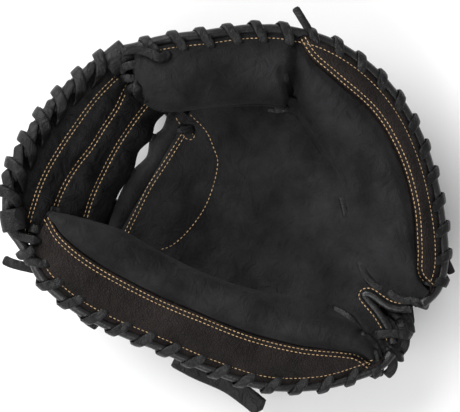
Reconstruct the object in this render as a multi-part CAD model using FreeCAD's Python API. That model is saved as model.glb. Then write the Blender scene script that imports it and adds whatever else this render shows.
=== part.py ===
"""Catcher's mitt, left-hand wear, lying on its back with the pocket up.

Millimetres, +Z up. The mitt is a soft clam: a finger side and a thumb side that fold together about
a line that runs along +Y from the notch in the heel, under the pocket, to the middle of the web.
Each side is a stack: leather outside, felt padding, a lining, an empty stall for the hand, and a back
panel. Laces whip the front and back panels together over a rolled binding.
"""
import FreeCAD
import Part
import math
import os

# ---------------------------------------------------------------- driving dimensions
LEATHER = 2.6            # front and back shell leather
LINING = 1.8             # soft inner leather
GAP = 0.6                # air left between neighbouring layers
BINDING_R = 3.4          # rolled binding round the rim
LACE_W = 6.0             # rawhide lace, width
LACE_T = 2.0             # rawhide lace, thickness
WRAP_PITCH = 17.5        # spacing of the whip wraps along the rim, about
FOLD_X = -13.5           # the fold line's place
FOLD_Z = 40.0            # and its height
LIFT = 8.0               # room under the front shell for the hand
PAD_THICK = 22.0         # felt padding
STRAP_W = 38.0           # wrist strap, width
POCKET_Z = 32.0          # lowest point of the pocket
POCKET_X = -12.0         # its place
POCKET_Y = -12.0
STATIONS = 12            # sections in one loft

# ---------------------------------------------------------------- guide curves, seen from above with height
RIM_THUMB = [(-100, 99, 71), (-110, 83, 69), (-115, 60, 66), (-115, 32, 61), (-111, 0, 55),
             (-107, -35, 50), (-99, -71, 46), (-82, -101, 43), (-62, -121, 43), (-50, -129, 44)]
RIM_FINGER = [(43, 107, 70), (58, 92, 69), (74, 71, 67), (90, 50, 63), (102, 28, 59), (109, 0, 54),
              (107, -31, 50), (96, -61, 46), (77, -88, 43), (52, -112, 42), (28, -129, 42),
              (10, -135, 43), (-4, -133, 44)]
RIM_WEB = [(-99, 103, 71), (-89, 120.5, 75), (-68, 131, 78), (-38, 134.5, 80), (-8, 131, 80),
           (20, 122.5, 77), (43, 110, 71)]
SEAM_THUMB = [(-76, 101, 74), (-84, 86, 75), (-88, 60, 73), (-87, 19, 68), (-83, -15, 65), (-78, -48, 62),
              (-69, -79, 58), (-57, -106, 53), (-52, -124, 48)]
FOLD_THUMB = [(-70, 100), (-64, 78), (-59, 55), (-59, 30), (-57, 0), (-52, -28), (-41, -60), (-31, -83),
              (-26, -97), (-30, -112), (-37, -126)]
SEAM_FINGER = [(103, 18, 62), (97, 6, 63), (93, -14, 62), (86, -46, 59), (70, -74, 56), (48, -97, 54),
               (25, -113, 52), (10, -120, 50), (2, -130, 47)]
FOLD_FINGER = [(63, 0), (52, -23), (41, -44), (28, -58), (12, -70), (0, -86), (-5, -100), (-6, -113),
               (-6, -126)]
TOE_OUTER = [(43, 106, 71), (57, 92, 70), (73, 71, 68), (88, 50, 65), (98, 31, 62), (102, 22, 61)]
TOE_INNER = [(27, 98), (18, 82), (22, 65), (33, 50), (45, 34), (54, 20), (63, 3)]
ROLL_LINE = [(-54, 61.5, 44), (-36, 63.5, 41), (-14, 63, 40), (6, 62.5, 41), (19, 61.5, 44)]
NOTCH_LINE = [(-31, -128, 45), (-23.8, -111, 46), (-19.6, -100.5, 46), (-17, -98, 46), (-14.8, -101, 46),
              (-14.3, -112, 46), (-13.5, -127, 45)]
BACK_OUTER_FINGER = [(40, 103, 66), (69, 70, 62), (95, 27, 54), (105, -8, 49), (101, -40, 45),
                     (87, -73, 39), (62, -103, 37), (38, -121, 37)]
BACK_INNER_FINGER = [(18, 92, 40), (10, 62, 18), (6, 28, 8), (6, -4, 5), (12, -34, 5), (26, -58, 7),
                     (40, -78, 10), (30, -104, 14)]
BACK_OUTER_THUMB = [(-96, 96, 66), (-108, 74, 63), (-111, 40, 57), (-107, 0, 50), (-101, -38, 45),
                    (-91, -73, 40), (-74, -103, 38), (-60, -117, 38)]
BACK_INNER_THUMB = [(-58, 90, 40), (-44, 62, 18), (-36, 30, 8), (-34, -2, 5), (-38, -32, 5),
                    (-50, -56, 7), (-62, -78, 10), (-54, -104, 14)]


def vec(x, y, z=0.0):
    return FreeCAD.Vector(x, y, z)


def along(control, count):
    """count points spread evenly along a smooth curve through the control points."""
    curve = Part.BSplineCurve()
    curve.interpolate(control)
    return curve.discretize(Number=count)


def pocket(x, y):
    """Height of the pocket's leather: a bowl that rises to the web, the heel and both sides."""
    dx = (x - POCKET_X) / 60.0
    dy = (y - POCKET_Y) / 85.0
    return POCKET_Z + 15.0 * dx * dx + 20.0 * dy * dy


def offset_profile(points, depth):
    """Moves each (s, z) point of a profile by depth to its right-hand side."""
    moved = []
    for i, (s, z) in enumerate(points):
        s0, z0 = points[max(i - 1, 0)]
        s1, z1 = points[min(i + 1, len(points) - 1)]
        length = math.hypot(s1 - s0, z1 - z0)
        moved.append((s + depth * (z1 - z0) / length, z - depth * (s1 - s0) / length))
    return moved


def section(start, end, upper, lower):
    """A closed wire in the upright plane through start and end. Profiles are (distance, height) pairs."""
    flat = vec(end.x - start.x, end.y - start.y)
    flat.normalize()

    def place(pair):
        return vec(start.x + flat.x * pair[0], start.y + flat.y * pair[0], pair[1])

    ring = [place(p) for p in upper] + [place(p) for p in lower[::-1]]
    return Part.makePolygon(ring + ring[:1])


def loft(wires):
    """A closed solid through the sections, the right way out."""
    solid = Part.makeLoft(wires, True, False)
    if solid.Volume < 0:
        solid.reverse()
    return solid


def span(a, b):
    """Distance between two points, seen from above."""
    return math.hypot(b.x - a.x, b.y - a.y)


def sheet(outer, inner, profile, thick=LEATHER, stations=STATIONS, inset=(0.0, 0.0), ends=(0.0, 1.0)):
    """Leather between two guide curves. profile(u, a, b) gives (share across, height) pairs."""
    wires = []
    for i in range(stations):
        u = ends[0] + (ends[1] - ends[0]) * i / (stations - 1)
        a = outer.at(u)
        b = inner.at(u)
        wide = span(a, b)
        upper = [(inset[0] + s * (wide - inset[0] - inset[1]), z) for s, z in profile(u, a, b)]
        wires.append(section(a, b, upper, offset_profile(upper, thick)))
    return loft(wires)


def block(outer, inner, top, bottom, stations=STATIONS, inset=(0.0, 0.0), ends=(0.0, 1.0)):
    """Padding between two guide curves, from a bottom profile up to a top profile."""
    wires = []
    for i in range(stations):
        u = ends[0] + (ends[1] - ends[0]) * i / (stations - 1)
        a = outer.at(u)
        b = inner.at(u)
        wide = span(a, b) - inset[0] - inset[1]
        upper = [(inset[0] + s * wide, z) for s, z in top(u, a, b)]
        lower = [(inset[0] + s * wide, z) for s, z in bottom(u, a, b)]
        wires.append(section(a, b, upper, lower))
    return loft(wires)


class Guide:
    """A smooth curve read by its share of length."""

    def __init__(self, control, lift=LIFT, count=241):
        self.points = along([vec(p[0], p[1], p[2] + lift if len(p) == 3 else 0.0) for p in control], count)

    def at(self, u):
        place = min(max(u, 0.0), 1.0) * (len(self.points) - 1)
        i = min(int(place), len(self.points) - 2)
        t = place - i
        return self.points[i] * (1 - t) + self.points[i + 1] * t

    def tangent(self, u):
        step = self.at(u + 0.004) - self.at(u - 0.004)
        step.normalize()
        return step

    def length(self):
        return sum(self.points[i].distanceToPoint(self.points[i + 1]) for i in range(len(self.points) - 1))


def tube(guide, radius, flat=1.0, stations=26, ends=(0.0, 1.0), corners=10):
    """A round or oval bar along a guide; flat below 1 squeezes it in height."""
    wires = []
    for i in range(stations):
        u = ends[0] + (ends[1] - ends[0]) * i / (stations - 1)
        middle = guide.at(u)
        ahead = guide.tangent(u)
        side = ahead.cross(vec(0, 0, 1))
        side.normalize()
        up = side.cross(ahead)
        ring = []
        for k in range(corners):
            turn = 2 * math.pi * k / corners
            ring.append(middle + side * (radius * math.cos(turn)) + up * (radius * flat * math.sin(turn)))
        curve = Part.BSplineCurve()
        curve.interpolate(Points=ring, PeriodicFlag=True)
        wires.append(Part.Wire([curve.toShape()]))
    return loft(wires)


def wraps(guide, first, last, slant, radius, pitch=WRAP_PITCH, width=LACE_W):
    """Whip-lace wraps: flat rings round the binding, slanted to its run."""
    rings = []
    count = int(round((last - first) * guide.length() / pitch)) + 1
    for i in range(count):
        u = first + (last - first) * i / (count - 1)
        rings.append(ring_at(guide.at(u), guide.tangent(u), slant, radius, width))
    return Part.makeCompound(rings)


def ring_at(middle, ahead, slant, radius, width):
    """A flat ring of lace round the run at middle."""
    axis = FreeCAD.Rotation(vec(0, 0, 1), slant).multVec(ahead)
    base = middle - axis * (width / 2)
    outer = Part.makeCylinder(radius + LACE_T, width, base, axis)
    return outer.cut(Part.makeCylinder(radius, width, base, axis))


def strip(points, width, thick, flat_normal):
    """A flat lace end: straight runs of width by thick along points, mitred by fusing."""
    runs = []
    for a, b in zip(points, points[1:]):
        ahead = b - a
        reach = ahead.Length
        ahead.normalize()
        side = flat_normal.cross(ahead)
        side.normalize()
        up = ahead.cross(side)
        corner = a - side * (width / 2) - up * (thick / 2)
        base = Part.makePolygon([corner, corner + side * width, corner + side * width + up * thick,
                                 corner + up * thick, corner])
        runs.append(Part.Face(base).extrude(ahead * (reach + 0.05)))
    solid = runs[0]
    for run in runs[1:]:
        solid = solid.fuse(run)
    return solid


rim_thumb = Guide(RIM_THUMB)
rim_finger = Guide(RIM_FINGER)
rim_web = Guide(RIM_WEB)
seam_thumb = Guide(SEAM_THUMB)
fold_thumb = Guide(FOLD_THUMB)
seam_finger = Guide(SEAM_FINGER)
fold_finger = Guide(FOLD_FINGER)
parts = {}

# ---------------------------------------------------------------- padded rolls beside the pocket
CREST = 6.0
ACROSS = [0.0, 0.16, 0.33, 0.5, 0.67, 0.84, 1.0]


def wall_foot(a, b, drop):
    """Height where a padded wall meets the pocket, always at least drop below the seam."""
    return min(pocket(b.x, b.y), a.z - drop)


def roll_profile(u, a, b):
    """From the seam over a soft crest and down a rounded wall to the pocket."""
    floor = wall_foot(a, b, 10.0)
    wall = a.z - floor
    return [(0.0, a.z), (0.25, a.z + 0.6 * CREST), (0.5, a.z + CREST), (0.75, a.z + 0.6 * CREST),
            (0.92, a.z - 0.15 * wall), (1.0, floor + 0.45 * wall), (1.02, floor + 0.8)]


def pad_top(u, a, b):
    seam = a.z - LEATHER - GAP
    wall = seam - wall_foot(a, b, 10.0)
    return [(0.0, seam - 0.6), (0.3, seam + 0.5 * CREST), (0.55, seam + 0.65 * CREST), (0.8, seam - 0.6),
            (1.0, seam - 0.45 * wall)]


def pad_bottom(u, a, b):
    edge = wall_foot(a, b, 16.0) - 3.5
    under = min(a.z - PAD_THICK, edge + 12.0)
    return [(0.0, under), (0.3, under - 0.5), (0.6, 0.5 * (under + edge)), (0.85, edge + 1.0), (1.0, edge)]


parts["thumb_pad_cover"] = sheet(seam_thumb, fold_thumb, roll_profile, inset=(0.5, 0.0), ends=(0.05, 0.94))
parts["thumb_pad"] = block(seam_thumb, fold_thumb, pad_top, pad_bottom, inset=(1.2, 5.0), ends=(0.03, 0.93))
parts["finger_pad_cover"] = sheet(seam_finger, fold_finger, roll_profile, inset=(0.5, 0.0), ends=(0.02, 0.94))
parts["finger_pad"] = block(seam_finger, fold_finger, pad_top, pad_bottom, inset=(1.2, 5.0),
                            ends=(0.05, 0.91))

toe_outer = Guide(TOE_OUTER)
toe_inner = Guide(TOE_INNER)


def toe_profile(u, a, b):
    """The toe rolls up from its rim, then drops steeply into the pocket."""
    floor = wall_foot(a, b, 14.0) + 3.0
    top = a.z + 10.0
    return [(0.0, a.z), (0.2, a.z + 6.0), (0.5, top), (0.78, top - 2.5), (0.95, top - 11.0),
            (1.0, 0.5 * (top + floor)), (0.97, floor + 1.0)]


def toe_pad_top(u, a, b):
    return [(0.0, a.z - 3.4), (0.25, a.z + 2.4), (0.5, a.z + 5.4), (0.78, a.z + 1.8), (1.0, a.z - 12.0)]


def toe_pad_bottom(u, a, b):
    floor = wall_foot(a, b, 22.0) + 2.0
    return [(0.0, a.z - 14.0), (0.25, a.z - 17.0), (0.5, 0.5 * (a.z - 20.0 + floor)), (0.78, floor + 1.5),
            (1.0, floor)]


parts["toe_cover"] = sheet(toe_outer, toe_inner, toe_profile, inset=(7.0, 0.0), ends=(0.03, 0.985))
parts["toe_pad"] = block(toe_outer, toe_inner, toe_pad_top, toe_pad_bottom, inset=(9.0, 6.0),
                         ends=(0.06, 0.94))

# ---------------------------------------------------------------- outer panels and bumpers
rim_finger_panel = Guide([(106, 17, 57)] + RIM_FINGER[5:])


def panel_profile(u, a, b):
    rise = b.z - a.z
    return [(0.0, a.z), (0.3, a.z + 0.55 * rise + 0.5), (0.65, a.z + 0.9 * rise + 0.6), (1.0, b.z)]


def bumper_top(u, a, b):
    rise = b.z - a.z
    return [(0.0, a.z - 3.6), (0.35, a.z + 0.55 * rise - 3.6), (0.7, a.z + 0.88 * rise - 3.6),
            (1.0, b.z - 4.2)]


def bumper_bottom(u, a, b):
    under = min(b.z - PAD_THICK, a.z - 6.0)
    return [(0.0, a.z - 7.0), (0.35, 0.5 * (a.z - 9.0 + under)), (0.7, under + 1.0), (1.0, under)]


parts["thumb_rim_panel"] = sheet(rim_thumb, seam_thumb, panel_profile, inset=(BINDING_R + 0.4, 0.6),
                                 ends=(0.0, 0.94))
parts["thumb_bumper"] = block(rim_thumb, seam_thumb, bumper_top, bumper_bottom, inset=(9.0, 1.0),
                              ends=(0.05, 0.95))
parts["finger_rim_panel"] = sheet(rim_finger_panel, seam_finger, panel_profile, inset=(BINDING_R + 0.4, 0.6),
                                  ends=(0.10, 0.92))

# ---------------------------------------------------------------- the pocket, in two halves and a crease


def fold_gap(z):
    """Half the gap that lets the two halves close without meeting above the fold line."""
    return 1.0 + 0.42 * max(0.0, z - FOLD_Z)


def crease_edge(side, extra, ys):
    """The fold line's edge on one side (+1 finger, -1 thumb) at each y."""
    return [(FOLD_X + side * (fold_gap(pocket(FOLD_X, y)) + extra), y) for y in ys]


def pocket_profile(lift):
    """A profile that follows the pocket, lift above its leather's top."""
    def profile(u, a, b):
        line = []
        for s in ACROSS:
            at = a * (1 - s) + b * s
            line.append((s, pocket(at.x, at.y) + lift))
        return line
    return profile


FOLD_YS = [56, 30, 0, -30, -60, -84]
thumb_edge = [(-60, 56), (-60, 30), (-58, 0), (-53, -28), (-42, -60), (-33, -84)]
finger_edge = [(24, 56), (45, 30), (61, 0), (51, -26), (30, -57), (6, -83)]
FELT_DROP = LEATHER + 2.9
FELT_THICK = 2.6
LINING_DROP = 10.5
pocket_thumb = Guide(thumb_edge)
pocket_finger = Guide(finger_edge)
crease_thumb = Guide(crease_edge(-1, 0.0, FOLD_YS))
crease_finger = Guide(crease_edge(1, 0.0, FOLD_YS))
parts["palm_thumb"] = sheet(pocket_thumb, crease_thumb, pocket_profile(0.0), inset=(1.2, 0.0))
parts["palm_finger"] = sheet(crease_finger, pocket_finger, pocket_profile(0.0), inset=(0.0, 2.0))
strip_left = Guide(crease_edge(-1, -0.35, FOLD_YS))
strip_right = Guide(crease_edge(1, -0.35, FOLD_YS))
parts["palm_crease"] = sheet(strip_left, strip_right, pocket_profile(0.0))


def felt(left, right, inset):
    """The felt that lies under the pocket's leather."""
    top = pocket_profile(-FELT_DROP)
    bottom = pocket_profile(-FELT_DROP - FELT_THICK)
    return block(left, right, top, bottom, inset=inset, ends=(0.03, 0.97))


parts["palm_felt_thumb"] = felt(pocket_thumb, crease_thumb, (4.0, 0.6))
parts["palm_felt_finger"] = felt(crease_finger, pocket_finger, (0.6, 6.0))
patch_top = Guide([(-56, 54), (-30, 55.5), (0, 55), (20, 54)])
patch_low = Guide([(-54, 28), (-37, 19.5), (-8, 20.5), (12, 31), (22, 44)])
parts["crescent_patch"] = sheet(patch_top, patch_low, pocket_profile(1.9), thick=1.3, ends=(0.03, 0.97))
parts["palm_top_roll"] = tube(Guide(ROLL_LINE), 5.4, flat=0.75, stations=12)

# ---------------------------------------------------------------- heel strip beside the notch


def flat_profile(u, a, b):
    return [(s, a.z + (b.z - a.z) * s) for s in (0.0, 0.33, 0.67, 1.0)]


heel_finger_out = Guide([(-3, -87, 44), (-6.8, -98, 45), (-7.6, -112, 45), (-7.8, -124, 44)])
heel_finger_in = Guide([(-9, -87, 44), (-11.6, -98, 45), (-11.4, -112, 45), (-10.8, -124, 44)])
parts["heel_strip_finger"] = sheet(heel_finger_in, heel_finger_out, flat_profile, stations=6)

# ---------------------------------------------------------------- linings: the hand's side of each stack


def lining_profile(rise):
    """From the rim side down to the fold."""
    def profile(u, a, b):
        inner = pocket(b.x, b.y) - LINING_DROP
        outer = min(a.z - 16.0, inner + rise)
        return [(0.0, outer), (0.3, inner + 0.6 * (outer - inner)), (0.65, inner + 0.15 * (outer - inner)),
                (1.0, inner)]
    return profile


LINING_YS = [60, 36, 5, -30, -62, -86]
lining_thumb_in = Guide(crease_edge(-1, 0.3, LINING_YS))
lining_finger_in = Guide(crease_edge(1, 0.3, LINING_YS))
lining_thumb_out = Guide([(-89, 83, 66), (-98, 44, 61), (-95, 4, 55), (-88, -34, 50), (-76, -70, 46),
                          (-61, -94, 43)])
lining_finger_out = Guide([(47, 77, 67), (74, 43, 62), (89, 8, 56), (89, -29, 51), (74, -62, 46),
                           (51, -88, 43)])
parts["thumb_lining"] = sheet(lining_thumb_out, lining_thumb_in, lining_profile(18.0), thick=LINING)
parts["finger_lining"] = sheet(lining_finger_out, lining_finger_in, lining_profile(16.0), thick=LINING)

# ---------------------------------------------------------------- back panels


def back_profile(u, a, b):
    """From the rim down to the table and up to the edge of the hand opening."""
    return [(0.0, a.z), (0.08, 0.66 * a.z), (0.2, 0.28 * a.z), (0.36, 3.0), (0.5, -0.5), (0.72, -0.5),
            (0.88, 0.45 * b.z), (1.0, b.z)]


def on_table(shape):
    """Presses the lowest stretch flat against the table."""
    return shape.cut(Part.makeBox(400, 400, 20, vec(-200, -200, -20)))


back_outer_finger = Guide(BACK_OUTER_FINGER, lift=0.0)
back_inner_finger = Guide(BACK_INNER_FINGER, lift=0.0)
back_outer_thumb = Guide(BACK_OUTER_THUMB, lift=0.0)
back_inner_thumb = Guide(BACK_INNER_THUMB, lift=0.0)
back_finger = sheet(back_outer_finger, back_inner_finger, back_profile, thick=-LEATHER, stations=14)
back_thumb = sheet(back_outer_thumb, back_inner_thumb, back_profile, thick=-LEATHER, stations=14,
                   ends=(0.0, 0.96))
parts["back_finger_panel"] = on_table(back_finger)
parts["back_thumb_panel"] = on_table(back_thumb)

# ---------------------------------------------------------------- web between thumb tip and toe
web_top = Guide([(-77, 120, 73), (-63, 125, 75), (-38, 128, 77), (-9, 125, 77), (10, 120, 75),
                 (25, 113, 72)])
web_low = Guide([(-56, 74, 46), (-38, 77, 43), (-14, 78, 42), (4, 77, 43), (14, 76, 46)])


def web_profile(u, a, b):
    drop = b.z - a.z
    pleat = [0.0, 2.2, 0.0, 2.4, 0.0, 2.4, 0.0]
    return [(s, a.z + drop * s ** 0.9 + p) for s, p in zip(ACROSS, pleat)]


parts["web"] = sheet(web_top, web_low, web_profile, thick=3.4, stations=10)

# ---------------------------------------------------------------- bindings and laces
parts["web_binding"] = tube(rim_web, BINDING_R + 0.4, stations=16, ends=(0.10, 0.90))
parts["thumb_binding"] = tube(rim_thumb, BINDING_R, stations=22, ends=(0.03, 1.0))
parts["finger_binding"] = tube(rim_finger, BINDING_R, stations=26, ends=(0.03, 1.0))
parts["notch_binding"] = tube(Guide(NOTCH_LINE), 2.2, stations=15, ends=(0.04, 0.96))
WRAP_R = BINDING_R + 0.2
parts["thumb_rim_lace"] = wraps(rim_thumb, 0.12, 0.96, 26.0, WRAP_R)
parts["finger_rim_lace"] = wraps(rim_finger, 0.10, 0.96, -18.0, WRAP_R)
parts["web_cross_lace"] = wraps(rim_web, 0.17, 0.83, 28.0, WRAP_R + 0.4)
parts["thumb_corner_wrap"] = ring_at(rim_thumb.at(0.055), rim_thumb.tangent(0.055), 0.0, WRAP_R, 12.0)
parts["finger_corner_wrap"] = ring_at(rim_finger.at(0.05), rim_finger.tangent(0.05), 0.0, WRAP_R, 12.0)


# ---------------------------------------------------------------- edges of the hand opening
def shifted(control, dx, dz):
    return [(x + dx, y, z + dz) for x, y, z in control]


parts["opening_binding_finger"] = tube(Guide(shifted(BACK_INNER_FINGER, -3.4, 1.6), lift=0.0), 2.4,
                                       stations=18)
parts["opening_binding_thumb"] = tube(Guide(shifted(BACK_INNER_THUMB, 3.4, 1.6), lift=0.0), 2.4, stations=18)

# ---------------------------------------------------------------- wrist strap and its pull tab
STRAP_Y = -96.0
STRAP_Z = 10.0
TAB_ROOT_X = 22.0
TAB_LENGTH = 58.0
TAB_T = 2.4
PAD_T = 1.5


def band(path, width, thick):
    """A flat band across the mitt: path holds (x, z) of its underside."""
    low = [vec(x, STRAP_Y - width / 2, z) for x, z in path]
    top = [vec(x, STRAP_Y - width / 2, z + thick) for x, z in path]
    face = Part.Face(Part.makePolygon(low + top[::-1] + low[:1]))
    return face.extrude(vec(0, width, 0))


strap_path = [(-58, 24), (-47, 20), (-34, STRAP_Z), (10, STRAP_Z), (23, 20), (34, 24)]
loop_z = STRAP_Z - PAD_T - 0.1
hook_z = STRAP_Z - 2 * PAD_T - 0.5
tab_z = hook_z - TAB_T - 0.1
parts["wrist_strap"] = band(strap_path, STRAP_W, LEATHER)
parts["loop_pad"] = band([(-32, loop_z), (8, loop_z)], STRAP_W - 8, PAD_T)
parts["hook_pad"] = band([(-32, hook_z), (8, hook_z)], STRAP_W - 10, PAD_T)
parts["pull_tab"] = band([(TAB_ROOT_X - TAB_LENGTH, tab_z), (TAB_ROOT_X, tab_z)], STRAP_W - 6, TAB_T)


# ---------------------------------------------------------------- inside the stalls
def hand_loop(x, y, z, radius):
    """A leather ring the finger goes through, lying across the stall."""
    base = vec(x, y, z)
    outer = Part.makeCylinder(radius, 12.0, base, vec(0, 1, 0))
    return outer.cut(Part.makeCylinder(radius - 2.0, 12.0, base, vec(0, 1, 0)))


parts["thumb_loop"] = hand_loop(-64, -40, 16.5, 10.0)
parts["little_finger_loop"] = hand_loop(56, -42, 16.5, 10.0)
walls = []
for x, low, top in ((27, 2, 52), (44, 2, 46), (61, -12, 28)):
    walls.append(Part.makeBox(LINING, top - low, 10, vec(x, low, 8.5)))
parts["stall_walls"] = Part.makeCompound(walls)

# ---------------------------------------------------------------- loose ends and ties
UP = vec(0, 0, 1)
parts["lace_ends_finger"] = Part.makeCompound([
    strip([vec(104, 8, 74), vec(109, 16, 75), vec(119, 33, 73)], LACE_W, LACE_T, UP),
    strip([vec(30, -120, 62), vec(28, -127, 61), vec(22, -138, 59)], LACE_W, LACE_T, UP)])
parts["lace_ends_thumb"] = Part.makeCompound([
    strip([vec(-106, 82, 88), vec(-108, 92, 89), vec(-112, 111, 86)], LACE_W, LACE_T, UP),
    strip([vec(-113, 66, 84), vec(-116.5, 57, 83), vec(-119, 39, 79)], LACE_W, LACE_T, UP),
    strip([vec(-112, -18, 70), vec(-110, -52, 66), vec(-112, -76, 61)], 8.6, LACE_T, UP),
    strip([vec(-46, -121, 64), vec(-45, -129, 63), vec(-52, -137, 61)], LACE_W, LACE_T, UP)])
parts["palm_lace_thumb"] = strip([vec(-38, -86, 73), vec(-35, -97, 72), vec(-38, -110, 69),
                                  vec(-44, -118, 67)], LACE_W, LACE_T, UP)
parts["palm_lace_finger"] = strip([vec(-5, -86, 55.6), vec(-8.6, -96, 55.6), vec(-9.2, -108, 55.6),
                                   vec(-9.2, -119, 55.2)], LACE_W, LACE_T, UP)
ties = []
for x in (-50, -12, 12):
    tie = [vec(x, 58, 56.5), vec(x, 66, 55.5), vec(x, 72, 54.5), vec(x, 81, 57)]
    ties.append(strip(tie, LACE_W, LACE_T, UP))
parts["web_tie_laces"] = Part.makeCompound(ties)

# ---------------------------------------------------------------- one STEP file for each part
os.makedirs("parts", exist_ok=True)
for name, shape in parts.items():
    shape.exportStep("parts/" + name + ".step")
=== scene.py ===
"""Visual model of a catcher's mitt, built round its CAD frame.

Sizes are millimetres until a mesh is made. +Z points out of the pocket, +Y from the heel to the web and
+X to the finger side. The origin is on the table, under the middle of the mitt.
"""
import math
import bpy
import numpy as np
from mathutils import Matrix, Vector, noise
from mathutils.bvhtree import BVHTree
from mathutils.geometry import delaunay_2d_cdt


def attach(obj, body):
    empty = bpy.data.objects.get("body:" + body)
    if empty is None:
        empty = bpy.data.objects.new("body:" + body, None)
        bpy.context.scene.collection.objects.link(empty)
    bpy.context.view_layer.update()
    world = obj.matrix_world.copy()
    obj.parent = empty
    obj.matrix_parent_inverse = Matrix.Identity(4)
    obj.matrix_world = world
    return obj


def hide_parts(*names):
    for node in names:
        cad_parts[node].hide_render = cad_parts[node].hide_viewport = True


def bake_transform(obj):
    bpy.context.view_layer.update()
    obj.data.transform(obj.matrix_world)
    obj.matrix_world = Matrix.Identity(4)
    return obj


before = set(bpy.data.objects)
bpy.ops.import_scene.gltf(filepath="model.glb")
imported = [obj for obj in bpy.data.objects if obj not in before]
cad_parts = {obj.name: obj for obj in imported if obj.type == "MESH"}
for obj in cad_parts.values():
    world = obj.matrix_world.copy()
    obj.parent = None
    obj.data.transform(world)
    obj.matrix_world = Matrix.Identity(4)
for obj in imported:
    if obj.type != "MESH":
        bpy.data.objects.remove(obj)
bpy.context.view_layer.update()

bl_info = {
    "name": "Catcher's mitt",
    "version": (1, 0, 0),
    "blender": (4, 5, 0),
    "location": "View3D > Sidebar > Mitt",
    "description": "Leather, felt, lacing and stitching of a catcher's mitt round its CAD frame",
    "category": "Object",
}

MM = 0.001
LIFT = 8.0
FOLD_X = -13.5
FOLD_REACH = 42.0  # the leather bends this far to each side of the fold
FINGER = "finger_side"
THUMB = "thumb_side"
TAB = "strap_tab"
BENT = "bent"
STRAP = "strap"
BENDS = {BENT: (FOLD_X + FOLD_REACH, FOLD_X - FOLD_REACH), STRAP: (-34.0,
                                                                   -58.0)}  # X where a bend starts and ends
MITT_MIDDLE = (-10.0, 0.0)
LACE_THICK = 1.9

# ---------------------------------------------------------------- guide curves: plan place and height
RIM_THUMB = [(-100, 99, 71), (-110, 83, 69), (-115, 60, 66), (-115, 32, 61), (-111, 0, 55), (-107, -35, 50),
             (-99, -71, 46), (-82, -101, 43), (-62, -121, 43), (-50, -129, 44), (-41, -131, 45)]
RIM_FINGER = [(43, 107, 70), (58, 92, 69), (74, 71, 67), (90, 50, 63), (102, 28, 59), (109, 0, 54),
              (107, -31, 50),
              (96, -61, 46), (77, -88, 43), (52, -112, 42), (28, -129, 42), (10, -135, 43), (-5, -132, 45)]
RIM_WEB = [(-101, 97, 71), (-97, 107, 73), (-89, 120.5, 75), (-68, 131, 78), (-38, 134.5, 80), (-8, 131, 80),
           (20, 122.5, 77), (36, 114, 73), (45, 105, 70)]
SEAM_THUMB = [(-76, 101, 74), (-84, 86, 75), (-88, 60, 73), (-87, 19, 68), (-83, -15, 65), (-78, -48, 62),
              (-69, -79, 58), (-58, -104, 53), (-55, -113, 50), (-56, -123, 47)]
FOLD_THUMB = [(-70, 100), (-64, 78), (-59, 55), (-59, 30), (-57, 0), (-52, -28), (-41, -60), (-31, -83),
              (-27, -97),
              (-31, -112), (-42, -127)]
SEAM_FINGER = [(103, 18, 62), (97, 6, 63), (93, -14, 62), (86, -46, 59), (70, -74, 56), (48, -97, 54),
               (25, -113, 52),
               (12, -121, 50), (8, -132, 46)]
FOLD_FINGER = [(63, 0), (52, -23), (41, -44), (28, -58), (12, -70), (0, -86), (-5, -100), (-6, -113),
               (-7, -130)]
TOE_OUTER = [(43, 106, 71), (57, 92, 70), (73, 71, 68), (88, 50, 65), (98, 31, 62), (102, 20, 61)]
TOE_INNER = [(27, 98), (18, 82), (22, 65), (33, 50), (45, 34), (54, 20), (62, 2)]
WEB_SEAMS = [
    [(-96, 104), (-86, 108), (-73, 111.5), (-56, 114.5), (-38, 115), (-16, 113.5), (5, 111), (24, 106),
     (38, 101)],
    [(-84, 94), (-68, 99), (-53, 101), (-38, 100.5), (-24, 98.5), (-10, 98), (6, 97), (21, 98), (34, 96)],
    [(-78, 76), (-63, 80), (-49, 83), (-32, 84.5), (-16, 85), (2, 84), (18, 82), (32, 80)],
]
PALM_SEAM = [(-60, 55), (-45, 56), (-27, 57), (-9, 56), (13, 55)]
PATCH_SEAM = [(-58, 29), (-52, 24), (-40, 20), (-23, 18), (-7, 20), (8, 25), (15, 32), (22, 42), (26, 56)]
NOTCH = [(-35.5, -129), (-30.5, -123.5), (-26, -116), (-22.6, -109), (-20.4, -102.5), (-18.2, -97.8),
         (-15.8, -100.6),
         (-16.2, -107), (-16.6, -114), (-14.5, -121.5), (-10.5, -127.5)]


# ---------------------------------------------------------------- curves and small tools
def dense(control, count=200):
    """A smooth curve through the control points, as evenly spaced points."""
    p = np.array(control, float)
    p = np.vstack([2 * p[0] - p[1], p, 2 * p[-1] - p[-2]])
    out = []
    for i in range(1, len(p) - 2):
        t = np.linspace(0, 1, 24, endpoint=False)[:, None]
        a, b, c, d = p[i - 1], p[i], p[i + 1], p[i + 2]
        out.append(0.5 * (2 * b + (c - a) * t + (2 * a - 5 * b + 4 * c - d) * t ** 2
                          + (3 * b - a - 3 * c + d) * t ** 3))
    out.append(p[-2][None])
    return resample(np.vstack(out), count)


def walked(points):
    """The length walked along a line at each of its points."""
    step = np.linalg.norm(np.diff(points, axis=0), axis=1)
    return np.concatenate([[0], np.cumsum(step)])


def resample(points, count):
    """The same line with evenly spaced points."""
    reach = walked(points)
    wanted = np.linspace(0, reach[-1], count)
    return np.stack([np.interp(wanted, reach, points[:, k]) for k in range(points.shape[1])], axis=1)


def run_length(points):
    return float(np.linalg.norm(np.diff(points, axis=0), axis=1).sum())


def unit(vectors):
    """The same directions with a length of one."""
    return vectors / np.maximum(np.linalg.norm(vectors, axis=-1, keepdims=True), 1e-9)


def lifted(control):
    return [(x, y, z + LIFT) for x, y, z in control]


def flat(control, z=0.0):
    return [(x, y, z) for x, y in control]


def smooth(a, b, x):
    t = np.clip((x - a) / (b - a), 0, 1)
    return t * t * (3 - 2 * t)


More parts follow.
